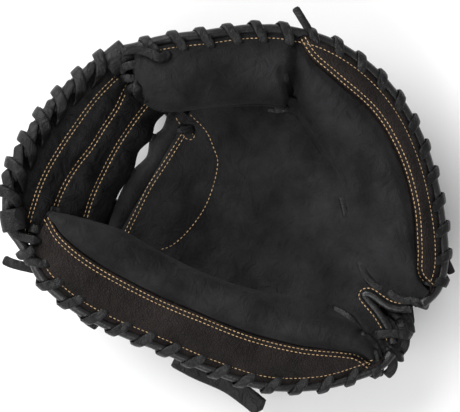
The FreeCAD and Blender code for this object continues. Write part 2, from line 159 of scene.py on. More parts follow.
def ripple(x, y, size, seed=0.0):
    """Smooth noise from -1 to 1 over the plan."""
    grid = np.broadcast(x, y)
    flat_x = np.broadcast_to(x, grid.shape).ravel()
    flat_y = np.broadcast_to(y, grid.shape).ravel()
    values = [noise.noise(Vector((a / size, b / size, seed))) for a, b in zip(flat_x, flat_y)]
    return np.array(values).reshape(grid.shape)


def near(points, line):
    """Distance in plan from each point to a line."""
    a = line[:-1, :2]
    d = line[1:, :2] - a
    best = np.full(len(points), 1e9)
    for start, run in zip(a, d):
        rel = points - start
        t = np.clip((rel @ run) / max(run @ run, 1e-9), 0, 1)
        best = np.minimum(best, np.linalg.norm(rel - t[:, None] * run, axis=1))
    return best


# ---------------------------------------------------------------- meshes
def add_object(name, data):
    obj = bpy.data.objects.new(name, data)
    bpy.context.scene.collection.objects.link(obj)
    return obj


def make_object(name, verts, faces, uvs):
    """A piece from points in millimetres, with one UV pair for each point."""
    mesh = bpy.data.meshes.new(name)
    places = [tuple(v) for v in np.asarray(verts) * MM]
    mesh.from_pydata(places, [], [tuple(int(i) for i in f) for f in faces])
    mesh.update()
    layer = mesh.uv_layers.new(name="UVMap")
    loops = np.empty(len(mesh.loops), np.int32)
    mesh.loops.foreach_get("vertex_index", loops)
    layer.data.foreach_set("uv", (np.asarray(uvs, np.float32)[loops] * MM).ravel())
    mesh.polygons.foreach_set("use_smooth", [True] * len(mesh.polygons))
    return add_object(name, mesh)


def join(name, parts_list):
    """Several (verts, faces, uvs) sets as one piece."""
    verts, faces, uvs, base = [], [], [], 0
    for v, f, t in parts_list:
        verts.append(np.asarray(v))
        uvs.append(np.asarray(t))
        faces += [tuple(i + base for i in face) for face in f]
        base += len(v)
    return make_object(name, np.vstack(verts), faces, np.vstack(uvs))


def grid_faces(nu, nv, offset=0, turned=False):
    faces = []
    for i in range(nu - 1):
        for j in range(nv - 1):
            a = offset + i * nv + j
            quad = (a, a + 1, a + nv + 1, a + nv)
            faces.append(quad[::-1] if turned else quad)
    return faces


def grid_normals(p):
    return unit(np.cross(np.gradient(p, axis=0), np.gradient(p, axis=1)))


def border(nu, nv):
    """The grid places round the edge, in order."""
    ring = [(i, 0) for i in range(nu)] + [(nu - 1, j) for j in range(1, nv)]
    ring += [(i, nv - 1) for i in range(nu - 2, -1, -1)] + [(0, j) for j in range(nv - 2, 0, -1)]
    return ring


# How far down a cut edge and how far out of it, as shares of the leather's thickness.
EDGE_ROUNDING = ((0.2, 0.3), (0.5, 0.42), (0.8, 0.3))


def hide_panel(p, thick, up=(0, 0, 1)):
    """A closed piece of leather with rounded edges from a grid of points on its good side."""
    nu, nv = p.shape[:2]
    n = grid_normals(p)
    if (n.reshape(-1, 3) @ np.array(up, float)).sum() < 0:
        p = p[::-1]
        n = grid_normals(p)
    back = p - n * thick
    verts = [p.reshape(-1, 3), back.reshape(-1, 3)]
    faces = grid_faces(nu, nv)
    faces += grid_faces(nu, nv, nu * nv, True)
    ring = border(nu, nv)
    index = np.array([i * nv + j for i, j in ring])
    edge = np.array([p[i, j] for i, j in ring])
    normal = np.array([n[i, j] for i, j in ring])
    middle = np.array([p[min(max(i, 1), nu - 2), min(max(j, 1), nv - 2)] for i, j in ring])
    out = edge - middle
    out = unit(out - normal * (out * normal).sum(1, keepdims=True))
    count = len(ring)
    rows = [index]
    base = 2 * nu * nv
    for drop, push in EDGE_ROUNDING:
        verts.append(edge - normal * thick * drop + out * thick * push)
        rows.append(np.arange(count) + base)
        base += count
    rows.append(index + nu * nv)
    for top, low in zip(rows, rows[1:]):
        for k in range(count):
            m = (k + 1) % count
            faces.append((top[k], top[m], low[m], low[k])[::-1])
    grid_uv = np.stack(np.meshgrid(walked(p[:, nv // 2]), walked(p[nu // 2]), indexing="ij"), axis=2)
    grid_uv = grid_uv.reshape(-1, 2)
    uvs = [grid_uv, grid_uv] + [grid_uv[index]] * len(EDGE_ROUNDING)
    verts = np.vstack(verts)
    return verts, fix_winding(verts, faces), np.vstack(uvs)


def fix_winding(verts, faces):
    """Turns every face over if the closed shape encloses a negative volume."""
    volume = 0.0
    for f in faces:
        a = verts[f[0]]
        for k in range(1, len(f) - 1):
            volume += np.dot(a, np.cross(verts[f[k]], verts[f[k + 1]]))
    return [f[::-1] for f in faces] if volume < 0 else faces


END_BULGE = 0.12  # of a bar's half width


def sweep(path, normals, section, scale=None, closed=False):
    """A solid bar: section holds (side, up) pairs, carried along path with up near normals."""
    path = np.asarray(path, float)
    normals = np.asarray(normals, float)
    ahead = unit(np.roll(path, -1, 0) - np.roll(path, 1, 0) if closed else np.gradient(path, axis=0))
    up = unit(normals - ahead * (normals * ahead).sum(1, keepdims=True))
    side = np.cross(ahead, up)
    section = np.asarray(section, float)
    count, rim = len(path), len(section)
    scale = np.ones(count) if scale is None else np.asarray(scale)
    ring = (path[:, None] + side[:, None] * (section[None, :, :1] * scale[:, None, None])
            + up[:, None] * (section[None, :, 1:] * scale[:, None, None]))
    verts = list(ring.reshape(-1, 3))
    faces = []
    for i in range(count if closed else count - 1):
        j = (i + 1) % count
        for k in range(rim):
            m = (k + 1) % rim
            faces.append((i * rim + k, i * rim + m, j * rim + m, j * rim + k))
    along, around = walked(path), walked(section)
    uvs = [(along[i], around[k]) for i in range(count) for k in range(rim)]
    if not closed:
        for end, order in ((0, 1), (count - 1, -1)):
            verts.append(path[end] - ahead[end] * order * END_BULGE * abs(section[:, 0]).max())
            uvs.append((along[end], 0.0))
            for k in range(rim):
                m = (k + 1) % rim
                face = (end * rim + k, len(verts) - 1, end * rim + m)
                faces.append(face if order == 1 else face[::-1])
    verts = np.array(verts)
    return verts, fix_winding(verts, faces), np.array(uvs)


def round_section(radius, corners=18):
    turn = np.linspace(0, 2 * math.pi, corners, endpoint=False)
    return np.stack([radius * np.cos(turn), radius * np.sin(turn)], axis=1)


def lace_section(width, thick):
    """A flat lace with eased edges."""
    w, t = width / 2, thick / 2
    near_edge, far_in = w - 0.25 * thick, w - 0.9 * thick
    return [(w, -0.3 * t), (w, 0.3 * t), (near_edge, 0.85 * t), (far_in, t), (0, 1.08 * t), (-far_in, t),
            (-near_edge, 0.85 * t), (-w, 0.3 * t), (-w, -0.3 * t), (-near_edge, -0.85 * t), (-far_in, -t),
            (far_in, -t), (near_edge, -0.85 * t)]


def ends_scale(count, first, last):
    """Full size all along but for the two ends."""
    scale = np.ones(count)
    scale[0] = first
    scale[-1] = last
    return scale


# ---------------------------------------------------------------- the mitt's curves
rim_thumb = dense(lifted(RIM_THUMB), 400)
rim_finger = dense(lifted(RIM_FINGER), 400)
rim_web = dense(lifted(RIM_WEB), 300)
seam_thumb = dense(lifted(SEAM_THUMB), 240)
seam_finger = dense(lifted(SEAM_FINGER), 240)
fold_thumb = dense(flat(FOLD_THUMB), 240)
fold_finger = dense(flat(FOLD_FINGER), 240)
toe_outer = dense(lifted(TOE_OUTER), 160)
toe_inner = dense(flat(TOE_INNER), 160)


def pick(line, u):
    """The places at shares u along a line."""
    place = np.clip(u, 0, 1) * (len(line) - 1)
    i = np.minimum(place.astype(int), len(line) - 2)
    t = (place - i)[:, None]
    return line[i] * (1 - t) + line[i + 1] * t


# ---------------------------------------------------------------- materials
def node_tree(name):
    material = bpy.data.materials.new(name)
    material.use_nodes = True
    tree = material.node_tree
    shader = tree.nodes["Principled BSDF"]
    return material, tree, shader


def add(tree, kind, inputs=None, **settings):
    node = tree.nodes.new(kind)
    for key, value in settings.items():
        setattr(node, key, value)
    for key, value in (inputs or {}).items():
        node.inputs[key].default_value = value
    return node


def ramp(tree, source, low, high, first, last):
    node = add(tree, "ShaderNodeMapRange", {"From Min": low, "From Max": high, "To Min": first,
                                            "To Max": last})
    tree.links.new(source, node.inputs["Value"])
    return node.outputs["Result"]


def mix_colour(tree, factor, first, second):
    node = add(tree, "ShaderNodeMix", data_type="RGBA")
    tree.links.new(factor, node.inputs["Factor"])
    for socket, value in ((node.inputs["A"], first), (node.inputs["B"], second)):
        if isinstance(value, bpy.types.NodeSocket):
            tree.links.new(value, socket)
        else:
            socket.default_value = (*value, 1.0)
    return node.outputs["Result"]


def noise_node(tree, vector, scale, detail=4.0, rough=0.55, distortion=0.0):
    node = add(tree, "ShaderNodeTexNoise", {"Scale": scale, "Detail": detail, "Roughness": rough,
                                            "Distortion": distortion})
    tree.links.new(vector, node.inputs["Vector"])
    return node.outputs["Fac"]


def bump(tree, height, strength, distance, below=None):
    node = add(tree, "ShaderNodeBump", {"Strength": strength, "Distance": distance})
    tree.links.new(height, node.inputs["Height"])
    if below is not None:
        tree.links.new(below, node.inputs["Normal"])
    return node.outputs["Normal"]


def leather(name, dark, light, rough, pebble, pebble_depth, crease, sheen, spec, blotch):
    """Leather: blotchy colour, fine pebble grain, pores and soft creases."""
    material, tree, shader = node_tree(name)
    place = add(tree, "ShaderNodeTexCoord").outputs["Object"]
    cloud = noise_node(tree, place, blotch, 5.0, 0.6)
    fine = noise_node(tree, place, 700.0, 3.0, 0.6)
    cells = add(tree, "ShaderNodeTexVoronoi", {"Scale": pebble, "Randomness": 0.95},
                feature="DISTANCE_TO_EDGE")
    tree.links.new(place, cells.inputs["Vector"])
    grain = ramp(tree, cells.outputs["Distance"], 0.0, 0.28, 0.0, 1.0)
    colour = mix_colour(tree, ramp(tree, cloud, 0.36, 0.66, 0.0, 1.0), dark, light)
    colour = mix_colour(tree, ramp(tree, grain, 0.0, 0.35, 0.35, 0.0), colour, shade(dark, 0.62))
    tree.links.new(colour, shader.inputs["Base Color"])
    tree.links.new(ramp(tree, fine, 0.3, 0.7, *rough), shader.inputs["Roughness"])
    creased = bump(tree, noise_node(tree, place, 95.0, 5.0, 0.62, 1.2), crease, 0.0016)
    pebbled = bump(tree, grain, pebble_depth, 0.00025, creased)
    tree.links.new(bump(tree, fine, 0.25, 0.00012, pebbled), shader.inputs["Normal"])
    shader.inputs["Specular IOR Level"].default_value = spec
    shader.inputs["Sheen Weight"].default_value = sheen
    shader.inputs["Sheen Roughness"].default_value = 0.5
    return material


def two_tone(name, colour, tone, dark, grain, depth, rough):
    """Thread or pile: a noise between a dark and a full tone, and a fine bump."""
    material, tree, shader = node_tree(name)
    place = add(tree, "ShaderNodeTexCoord").outputs["Object"]
    cloud = noise_node(tree, place, *tone)
    mixed = mix_colour(tree, ramp(tree, cloud, 0.35, 0.65, 0.0, 1.0), shade(colour, dark), colour)
    tree.links.new(mixed, shader.inputs["Base Color"])
    tree.links.new(bump(tree, noise_node(tree, place, *grain), *depth), shader.inputs["Normal"])
    shader.inputs["Roughness"].default_value = rough
    return material, shader


def thread(name, colour):
    """Waxed thread."""
    return two_tone(name, colour, (260.0, 2.0), 0.55, (2600.0, 2.0), (0.5, 0.0002), 0.62)[0]


def pile(name, colour, scale=1500.0):
    """Felt, or the face of hook and loop."""
    tuft = (scale, 4.0, 0.7)
    material, shader = two_tone(name, colour, tuft, 0.5, tuft, (0.8, 0.0006), 0.95)
    shader.inputs["Sheen Weight"].default_value = 0.3
    return material


LOOKS = {}
# Each leather: its name, the base colour it is a shade of, its darkest and lightest shade, and its surface.
LEATHERS = {
    "palm": ("napped palm leather", "palm", 0.8, 3.1, dict(
        rough=(0.5, 0.78), pebble=1100.0, pebble_depth=0.6, crease=1.6, sheen=0.03, spec=0.09, blotch=26.0)),
    "panel": ("pebbled panel leather", "panel", 0.9, 2.1, dict(
        rough=(0.42, 0.62), pebble=560.0, pebble_depth=1.0, crease=1.1, sheen=0.0, spec=0.1, blotch=40.0)),
    "web": ("crinkled web leather", "palm", 0.35, 1.5, dict(
        rough=(0.42, 0.65), pebble=900.0, pebble_depth=0.6, crease=1.7, sheen=0.0, spec=0.1, blotch=40.0)),
    "binding": ("smooth binding leather", "palm", 0.3, 0.8, dict(
        rough=(0.26, 0.4), pebble=1400.0, pebble_depth=0.15, crease=0.5, sheen=0.0, spec=0.42, blotch=60.0)),
    "lace": ("rawhide lace", "palm", 0.2, 0.75, dict(
        rough=(0.3, 0.46), pebble=1300.0, pebble_depth=0.25, crease=1.3, sheen=0.0, spec=0.24, blotch=90.0)),
    "back": ("back leather", "palm", 0.6, 1.2, dict(
        rough=(0.42, 0.6), pebble=760.0, pebble_depth=0.7, crease=0.6, sheen=0.0, spec=0.3, blotch=30.0)),
}
LINING = dict(rough=(0.7, 0.85), pebble=1800.0, pebble_depth=0.1, crease=0.8, sheen=0.1, spec=0.2,
              blotch=30.0)


def shade(colour, strength):
    return tuple(strength * c for c in colour)


def make_looks(tint):
    """Every finish in the mitt. tint is the settings group with the colours."""
    for look, (name, base, dark, light, surface) in LEATHERS.items():
        colour = tuple(getattr(tint, base))
        LOOKS[look] = leather(name, shade(colour, dark), shade(colour, light), **surface)
    LOOKS["lining"] = leather("soft lining leather", (0.012, 0.0115, 0.011), (0.03, 0.027, 0.025), **LINING)
    LOOKS["thread"] = thread("tan thread", tuple(tint.thread))
    LOOKS["felt"] = pile("wool felt", (0.35, 0.33, 0.3))
    LOOKS["hook"] = pile("hook and loop", (0.012, 0.012, 0.013), 2200.0)


def dress(obj, look):
    obj.data.materials.clear()
    obj.data.materials.append(LOOKS[look])
    return obj


def finished(obj, look, body, nodes=()):
    """Gives the piece its look, hangs it from its body's empty or, for a bend, bakes its place into the mesh, and
    hides the CAD nodes that it stands for.
    """
    dress(obj, look)
    if body in BENDS:
        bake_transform(obj)
    else:
        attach(obj, body)
    if nodes:
        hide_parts(*nodes)
    return obj


# ---------------------------------------------------------------- surfaces
POCKET_MIDDLE = (-12.0, -12.0)
POCKET_BOTTOM = 32.0
POCKET_REACH = (60.0, 85.0)  # across and along
POCKET_RISE = (15.0, 20.0)  # at the reach
HEEL_LEVELLING = 0.35


def palm_height(x, y):
    """The pocket as the leather lies: a bowl, levelled off at the heel."""
    across = (x - POCKET_MIDDLE[0]) / POCKET_REACH[0]
    along = (y - POCKET_MIDDLE[1]) / POCKET_REACH[1]
    heel = np.where(along < 0, 1 + HEEL_LEVELLING * along ** 4, 1.0)
    return POCKET_BOTTOM + POCKET_RISE[0] * across * across + POCKET_RISE[1] * along * along / heel


def blend_keys(wanted, other, share):
    """A share of the wanted section and the rest of the other."""
    return [tuple(o * (1 - share) + w * share for w, o in zip(pair, rest)) for pair,
            rest in zip(wanted, other)]


def section_grid(outer, inner, keys, nu, nv):
    """Rows of points between two curves; keys(u, a, b, wide) gives (distance, height) pairs."""
    rows = []
    for u in np.linspace(0.0, 1.0, nu):
        a = pick(outer, np.array([u]))[0]
        b = pick(inner, np.array([u]))[0]
        reach = b[:2] - a[:2]
        wide = float(np.hypot(*reach))
        rows.append(placed_section(a, reach / wide, dense(keys(u, a, b, wide), nv)))
    return np.array(rows)


def placed_section(start, run, curve):
    """A section's (distance, height) pairs as points, set off from start along run."""
    return np.stack([start[0] + run[0] * curve[:, 0], start[1] + run[1] * curve[:, 0], curve[:, 1]], axis=1)


def roll_hard(z, floor, w):
    """A roll's section with an upright wall: distance from the seam and height."""
    wall = z - floor
    return [(0, z - 2.0), (3.2, z - 1.4), (0.14 * w + 2, z + 1.6), (0.3 * w, z + 4.6), (0.52 * w, z + 6.2),
            (0.72 * w, z + 5.4), (0.88 * w, z + 2.4), (0.965 * w, z - 3.0), (1.0 * w, z - 0.35 * wall),
            (1.005 * w, floor + 0.3 * wall), (0.99 * w, floor + 1.0), (0.97 * w, floor - 1.5)]


def roll_soft(z, floor, w):
    """A roll's section that slopes down into the pocket."""
    wall = z - floor
    return [(0, z - 2.0), (3.2, z - 1.4), (0.12 * w + 2, z + 1.0), (0.24 * w, z + 3.4), (0.38 * w, z + 4.0),
            (0.52 * w, z + 2.2), (0.66 * w, floor + 0.78 * wall), (0.79 * w, floor + 0.45 * wall),
            (0.9 * w, floor + 0.18 * wall), (0.97 * w, floor + 0.05 * wall), (1.03 * w, floor - 0.2),
            (1.1 * w, floor - 2.0)]


def thumb_keys(u, a, b, w):
    """The thumb roll: an upright wall near the web, a soft slope towards the heel."""
    floor = float(palm_height(b[0], b[1]))
    k = float(smooth(0.5, 0.82, u))
    return blend_keys(roll_soft(a[2], floor, w), roll_hard(a[2], floor, w), k)


VALLEY = 3.0


FULL_DIP = np.array([0, 0, 0.6, 1, 1, 1, 0.8, 0.5, 0.2, 0, 0, 0])
FOLD_DIP = np.array([0, 0, 0, 0, 0, 0, 0, 0.7, 2.0, 4.2, 0.5, 0])


def finger_keys(u, a, b, w):
    """The finger side's soft slope, with a valley beside the toe roll and a fold at its foot."""
    floor = float(palm_height(b[0], b[1]))
    valley = VALLEY * (1 - float(smooth(0.0, 0.06, u)))
    fold = float(smooth(0.0, 0.05, u)) * (1 - float(smooth(0.42, 0.7, u)))
    drop = FULL_DIP * valley - FOLD_DIP * fold
    return [(d, z - e) for (d, z), e in zip(roll_soft(a[2], floor, w), drop)]


def toe_keys(u, a, b, w):
    """The fat toe roll. Both its ends round off to the leather beside it."""
    floor = float(palm_height(b[0], b[1]))
    z = a[2]
    full = [(0, z + 1.0), (0.07 * w, z + 1.2), (0.19 * w, z + 5.0), (0.36 * w, z + 9.4), (0.55 * w, z + 11.0),
            (0.74 * w, z + 9.2), (0.9 * w, z + 3.5), (0.985 * w, z - 5.0), (1.0 * w, z - 13.0),
            (0.985 * w, z - 20.0), (0.95 * w, floor + 6.0), (0.9 * w, floor + 1.0)]
    tip = [(0, z - 1.0), (0.07 * w, z - 1.0), (0.19 * w, z - 1.5), (0.36 * w, z - 2.0), (0.55 * w, z - 3.0),
           (0.74 * w, z - 7.0), (0.88 * w, z - 12.0), (0.93 * w, z - 15.0), (0.95 * w, z - 18.0),
           (0.93 * w, z - 22.0), (0.91 * w, floor + 4.0), (0.88 * w, floor + 1.0)]
    if u > 0.9:
        return blend_keys(full, finger_keys(0.0, a, b, w), 1 - float(smooth(0.93, 1.0, u)))
    if u < 0.05:
        return blend_keys(full, tip, 0.35 + 0.65 * math.sqrt(max(0.0, 1 - ((0.05 - u) / 0.05) ** 2)))
    return full


def panel_keys(u, a, b, w):
    """A rim panel: up from the rim and under the roll's seam."""
    rise = b[2] - a[2]
    return [(0, a[2] + 0.6), (0.1 * w, a[2] + 0.16 * rise + 1.6), (0.3 * w, a[2] + 0.5 * rise + 2.6),
            (0.6 * w, a[2] + 0.84 * rise + 2.4), (0.86 * w, b[2] + 1.2), (1.0 * w, b[2] + 0.4),
            (w + 3.2, b[2] + 0.5)]


def weathered(p, size, depth, seed):
    """Soft waves of the leather, moving the points up and down."""
    q = p.copy()
    q[..., 2] += depth * ripple(p[..., 0], p[..., 1], size, seed)
    return q


# ---------------------------------------------------------------- node groups for what repeats
def group(name, inputs):
    """A geometry node group with a geometry in and out and the named inputs."""
    tree = bpy.data.node_groups.new(name, "GeometryNodeTree")
    face = tree.interface
    face.new_socket("Geometry", in_out="INPUT", socket_type="NodeSocketGeometry")
    face.new_socket("Geometry", in_out="OUTPUT", socket_type="NodeSocketGeometry")
    for label, kind, default in inputs:
        socket = face.new_socket(label, in_out="INPUT", socket_type="NodeSocket" + kind)
        if default is not None:
            socket.default_value = default
    entry = tree.nodes.new("NodeGroupInput")
    leave = tree.nodes.new("NodeGroupOutput")
    return tree, entry, leave


def link(tree, source, target):
    tree.links.new(source, target)


def placed_instances(tree, entry, shape, seed):
    """Instances of shape at each point, turned by the along and up attributes, a little uneven."""
    along = add(tree, "GeometryNodeInputNamedAttribute", {"Name": "along"}, data_type="FLOAT_VECTOR")
    up = add(tree, "GeometryNodeInputNamedAttribute", {"Name": "up"}, data_type="FLOAT_VECTOR")
    turn = add(tree, "FunctionNodeAxesToRotation", primary_axis="Z", secondary_axis="X")
    link(tree, up.outputs["Attribute"], turn.inputs["Primary Axis"])
    link(tree, along.outputs["Attribute"], turn.inputs["Secondary Axis"])
    wobble = add(tree, "FunctionNodeRandomValue", data_type="FLOAT_VECTOR")
    wobble.inputs["Seed"].default_value = seed
    wobble.inputs["Min"].default_value = (-1.0, -1.0, -1.0)
    wobble.inputs["Max"].default_value = (1.0, 1.0, 1.0)
    tilt = add(tree, "ShaderNodeVectorMath", operation="SCALE")
    link(tree, entry.outputs["Uneven"], tilt.inputs["Scale"])
    link(tree, wobble.outputs["Value"], tilt.inputs[0])
    extra = add(tree, "FunctionNodeEulerToRotation")
    link(tree, tilt.outputs["Vector"], extra.inputs["Euler"])
    whole = add(tree, "FunctionNodeRotateRotation", rotation_space="LOCAL")
    link(tree, turn.outputs["Rotation"], whole.inputs["Rotation"])
    link(tree, extra.outputs["Rotation"], whole.inputs["Rotate By"])
    place = add(tree, "GeometryNodeInstanceOnPoints")
    link(tree, entry.outputs["Geometry"], place.inputs["Points"])
    link(tree, shape, place.inputs["Instance"])
    link(tree, whole.outputs["Rotation"], place.inputs["Rotation"])
    return place.outputs["Instances"]


def finish_group(tree, entry, leave, instances):
    real = add(tree, "GeometryNodeRealizeInstances")
    coat = add(tree, "GeometryNodeSetMaterial")
    smooth_shade = add(tree, "GeometryNodeSetShadeSmooth")
    link(tree, instances, real.inputs["Geometry"])
    link(tree, real.outputs["Geometry"], smooth_shade.inputs["Geometry"])
    link(tree, smooth_shade.outputs["Geometry"], coat.inputs["Geometry"])
    link(tree, entry.outputs["Material"], coat.inputs["Material"])
    link(tree, coat.outputs["Geometry"], leave.inputs["Geometry"])
    return tree


def stitch_group():
    """One sunk thread ellipsoid at each point."""
    tree, entry, leave = group("stitches", [("Length", "Float", 0.0021), ("Thickness", "Float", 0.0007),
                                            ("Uneven", "Float", 0.06), ("Material", "Material", None)])
    ball = add(tree, "GeometryNodeMeshUVSphere", {"Segments": 8, "Rings": 6, "Radius": 0.5})
    size = add(tree, "ShaderNodeCombineXYZ")
    link(tree, entry.outputs["Length"], size.inputs["X"])
    link(tree, entry.outputs["Thickness"], size.inputs["Y"])
    link(tree, entry.outputs["Thickness"], size.inputs["Z"])
    shape = add(tree, "GeometryNodeTransform")
    link(tree, ball.outputs["Mesh"], shape.inputs["Geometry"])
    link(tree, size.outputs["Vector"], shape.inputs["Scale"])
    return finish_group(tree, entry, leave, placed_instances(tree, entry, shape.outputs["Geometry"], 4))


def wrap_group():
    """One lace wrap, taken from another object, at each point."""
    tree, entry, leave = group("lace wraps", [("Wrap", "Object", None), ("Uneven", "Float", 0.05),
                                              ("Material", "Material", None)])
    source = add(tree, "GeometryNodeObjectInfo")
    link(tree, entry.outputs["Wrap"], source.inputs["Object"])
    return finish_group(tree, entry, leave, placed_instances(tree, entry, source.outputs["Geometry"], 9))


GROUPS = {}


def spread(name, kind, points, along, up, look, **inputs):
    """Runs a group on points (millimetres) and keeps the result as a plain mesh piece."""
    mesh = bpy.data.meshes.new(name + " points")
    mesh.from_pydata([tuple(p * MM) for p in points], [], [])
    for label, values in (("along", along), ("up", up)):
        attribute = mesh.attributes.new(label, "FLOAT_VECTOR", "POINT")
        attribute.data.foreach_set("vector", np.asarray(values, np.float32).ravel())
    seedbed = add_object(name + " points", mesh)
    modifier = seedbed.modifiers.new(kind, "NODES")
    modifier.node_group = GROUPS[kind]
    wanted = dict(inputs, Material=LOOKS[look])
    for item in GROUPS[kind].interface.items_tree:
        if item.in_out == "INPUT" and item.name in wanted:
            modifier[item.identifier] = wanted[item.name]
    bpy.context.view_layer.update()
    graph = bpy.context.evaluated_depsgraph_get()
    made = bpy.data.meshes.new_from_object(seedbed.evaluated_get(graph))
    seedbed.modifiers.remove(modifier)
    bpy.data.objects.remove(seedbed)
    return add_object(name, made)


# ---------------------------------------------------------------- laying things on the leather
FRONT = []


def remember(obj):
    FRONT.append(obj)
    return obj


def surface_tree(pieces):
    """One ray-cast tree, in millimetres, over several pieces."""
    verts, faces = [], []
    for obj in pieces:
        base = len(verts)
        verts += [v.co / MM for v in obj.data.vertices]
        faces += [tuple(base + i for i in p.vertices) for p in obj.data.polygons]
    return BVHTree.FromPolygons(verts, faces)


def laid(tree, plan):
    """Drops plan points on the leather from above: places and normals."""
    places, normals = [], []
    for x, y in plan:
        hit, normal, _, _ = tree.ray_cast(Vector((x, y, 200)), Vector((0, 0, -1)))
        if hit is None:
            hit, normal = Vector((x, y, places[-1][2] if places else 60.0)), Vector((0, 0, 1))
        places.append(list(hit))
        normals.append(list(-normal if normal.z < 0 else normal))
    return np.array(places), np.array(normals)


def side_line(line, offset):
    """A plan curve moved sideways; positive is to the right of its run."""
    ahead = unit(np.gradient(line[:, :2], axis=0))
    return line[:, :2] + offset * np.stack([ahead[:, 1], -ahead[:, 0]], axis=1)


STITCH_SINK = 0.1


def stitch_plan(line, pitch):
    """Plan places for stitches, one in the middle of each step."""
    count = max(3, int(run_length(line[:, :2]) / pitch))
    return resample(line[:, :2], count * 2 + 1)[1::2]


def stitch_marks(tree, line, pitch):
    """Stitch places, directions and normals along a plan line on the leather."""
    places, normals = laid(tree, stitch_plan(line, pitch))
    return places - normals * STITCH_SINK, unit(np.gradient(places, axis=0)), normals


def stitched(name, marks, stitches, body, thickness=None):
    """A row of stitches from several sets of marks."""
    obj = spread(name, "stitches", *(np.vstack(part) for part in zip(*marks)), "thread",
                 Length=stitches.length * MM, Thickness=(thickness or stitches.thickness) * MM)
    return finished(obj, "thread", body)


def rim_frame(line, u):
    """Place, run and outward direction on a rim curve."""
    p = pick(line, u)
    ahead = unit(pick(line, np.clip(u + 0.004, 0, 1)) - pick(line, np.clip(u - 0.004, 0, 1)))
    out = unit(np.cross(ahead, np.array([0, 0, 1.0])))
    flip = np.sign(((p[:, :2] - np.array(MITT_MIDDLE)) * out[:, :2]).sum(1))
    return p, ahead, out * flip[:, None]


def lace_strip(points, width):
    """One lace along its control points, flat side up."""
    path = dense(points, 30)
    return sweep(path, np.tile([0.0, 0.0, 1.0], (30, 1)), lace_section(width, LACE_THICK),
                 ends_scale(30, 0.7, 0.7))


# ---------------------------------------------------------------- front leather
def sheet_over(name, outline, height, thick, step):
    """A closed sheet of leather over a plan outline, its good side at height(x, y)."""
    ring = np.array(outline, float)
    low, high = ring.min(0), ring.max(0)
    gx, gy = np.meshgrid(np.arange(low[0], high[0], step), np.arange(low[1], high[1], step), indexing="ij")
    inside = np.stack([gx.ravel(), gy.ravel()], axis=1)
    inside[:, 0] += 0.5 * step * (np.round(inside[:, 1] / step) % 2)
    keep = in_outline(inside, ring) & (near(inside, np.vstack([ring, ring[:1]])) > 0.6 * step)
    points = [Vector(p) for p in np.vstack([ring, inside[keep]])]
    edges = [(i, (i + 1) % len(ring)) for i in range(len(ring))]
    flat_points, _, tris, _, _, _ = delaunay_2d_cdt(points, edges, [list(range(len(ring)))], 1, 1e-5)
    xy = np.array([tuple(p) for p in flat_points])
    top = np.column_stack([xy, height(xy[:, 0], xy[:, 1])])
    tris = [tuple(t) for t in tris]
    if sum(np.cross(xy[t[1]] - xy[t[0]], xy[t[2]] - xy[t[0]]) for t in tris) < 0:
        tris = [t[::-1] for t in tris]
    count = len(xy)
    used = {(t[k], t[(k + 1) % 3]): True for t in tris for k in range(3)}
    faces = tris + [tuple(i + count for i in t[::-1]) for t in tris]
    faces += [(a, a + count, b + count, b) for a, b in used if (b, a) not in used]
    verts = np.vstack([top, top - np.array([0, 0, thick])])
    return make_object(name, verts, fix_winding(verts, faces), np.vstack([xy, xy]))


def in_outline(points, ring):
    inside = np.zeros(len(points), bool)
    for p, q in zip(ring, np.roll(ring, -1, 0)):
        if p[1] == q[1]:
            continue
        cross = (points[:, 1] > min(p[1], q[1])) & (points[:, 1] <= max(p[1], q[1]))
        at = p[0] + (points[:, 1] - p[1]) * (q[0] - p[0]) / (q[1] - p[1])
        inside ^= cross & (points[:, 0] < at)
    return inside


def palm_outline():
    """The pocket leather's edge: under both rolls and the toe, round the heel and the notch."""
    toe = side_line(toe_inner, -6.0)
    finger = side_line(fold_finger, -6.0)
    thumb = side_line(fold_thumb, 6.0)
    toe = toe[toe[:, 1] < 57.0]
    thumb = thumb[thumb[:, 1] < 57.0][::-1]
    finger = finger[finger[:, 1] < toe[-1, 1] - 2.0]
    notch = dense(flat(NOTCH), 60)[::-1, :2]
    line = np.vstack([toe, finger, [(-4, -129)], notch, [(-39, -130)], thumb])
    return resample(np.vstack([line, line[:1]]), 260)[:-1]


patch_seam = dense(flat(PATCH_SEAM), 160)
palm_seam = dense(flat(PALM_SEAM), 120)


# Creases pressed into the pocket: a plan line, its depth and its width.
CREASES = [([(35, -22), (33, -32), (30, -42)], 1.6, 1.6), ([(52, -8), (40, -14), (30, -13)], 0.8, 3.0),
           ([(-2, -60), (12, -52), (24, -44)], 0.7, 3.5), ([(-12, -86), (-4, -78), (4, -70)], 0.9, 3.0),
           ([(-30, 40), (-22, 36), (-14, 38)], 0.5, 2.0)]
PATCH_RISE = 0.9
SEAM_RISE = 1.6
SEAM_REACH = 7.0


def pocket_leather_height(x, y):
    """The pocket leather's good side: the bowl with its patch, seam, creases and waves."""
    points = np.stack([x, y], axis=1)
    low = np.interp(x, patch_seam[:, 0], patch_seam[:, 1])
    on_patch = (y > low - 0.5) & (x < 27)
    z = palm_height(x, y) + PATCH_RISE * np.where(on_patch, smooth(-0.2, 1.4, near(points, patch_seam)), 0.0)
    z = z + SEAM_RISE * np.exp(-(near(points, palm_seam) / SEAM_REACH) ** 2)
    for line, depth, wide in CREASES:
        z = z - depth * np.exp(-(near(points, dense(flat(line), 40)) / wide) ** 2)
    fade = smooth(0, 60, np.abs(y + 10))
    return z + 0.9 * ripple(x, y, 34, 3.1) + 0.35 * ripple(x, y * 0.6, 11, 7.7) * fade


def build_pocket():
    obj = remember(sheet_over("pocket_leather", palm_outline(), pocket_leather_height, 2.6, 2.0))
    finished(obj, "palm", BENT,
             ("palm_finger", "palm_thumb", "palm_crease", "crescent_patch", "heel_strip_finger"))


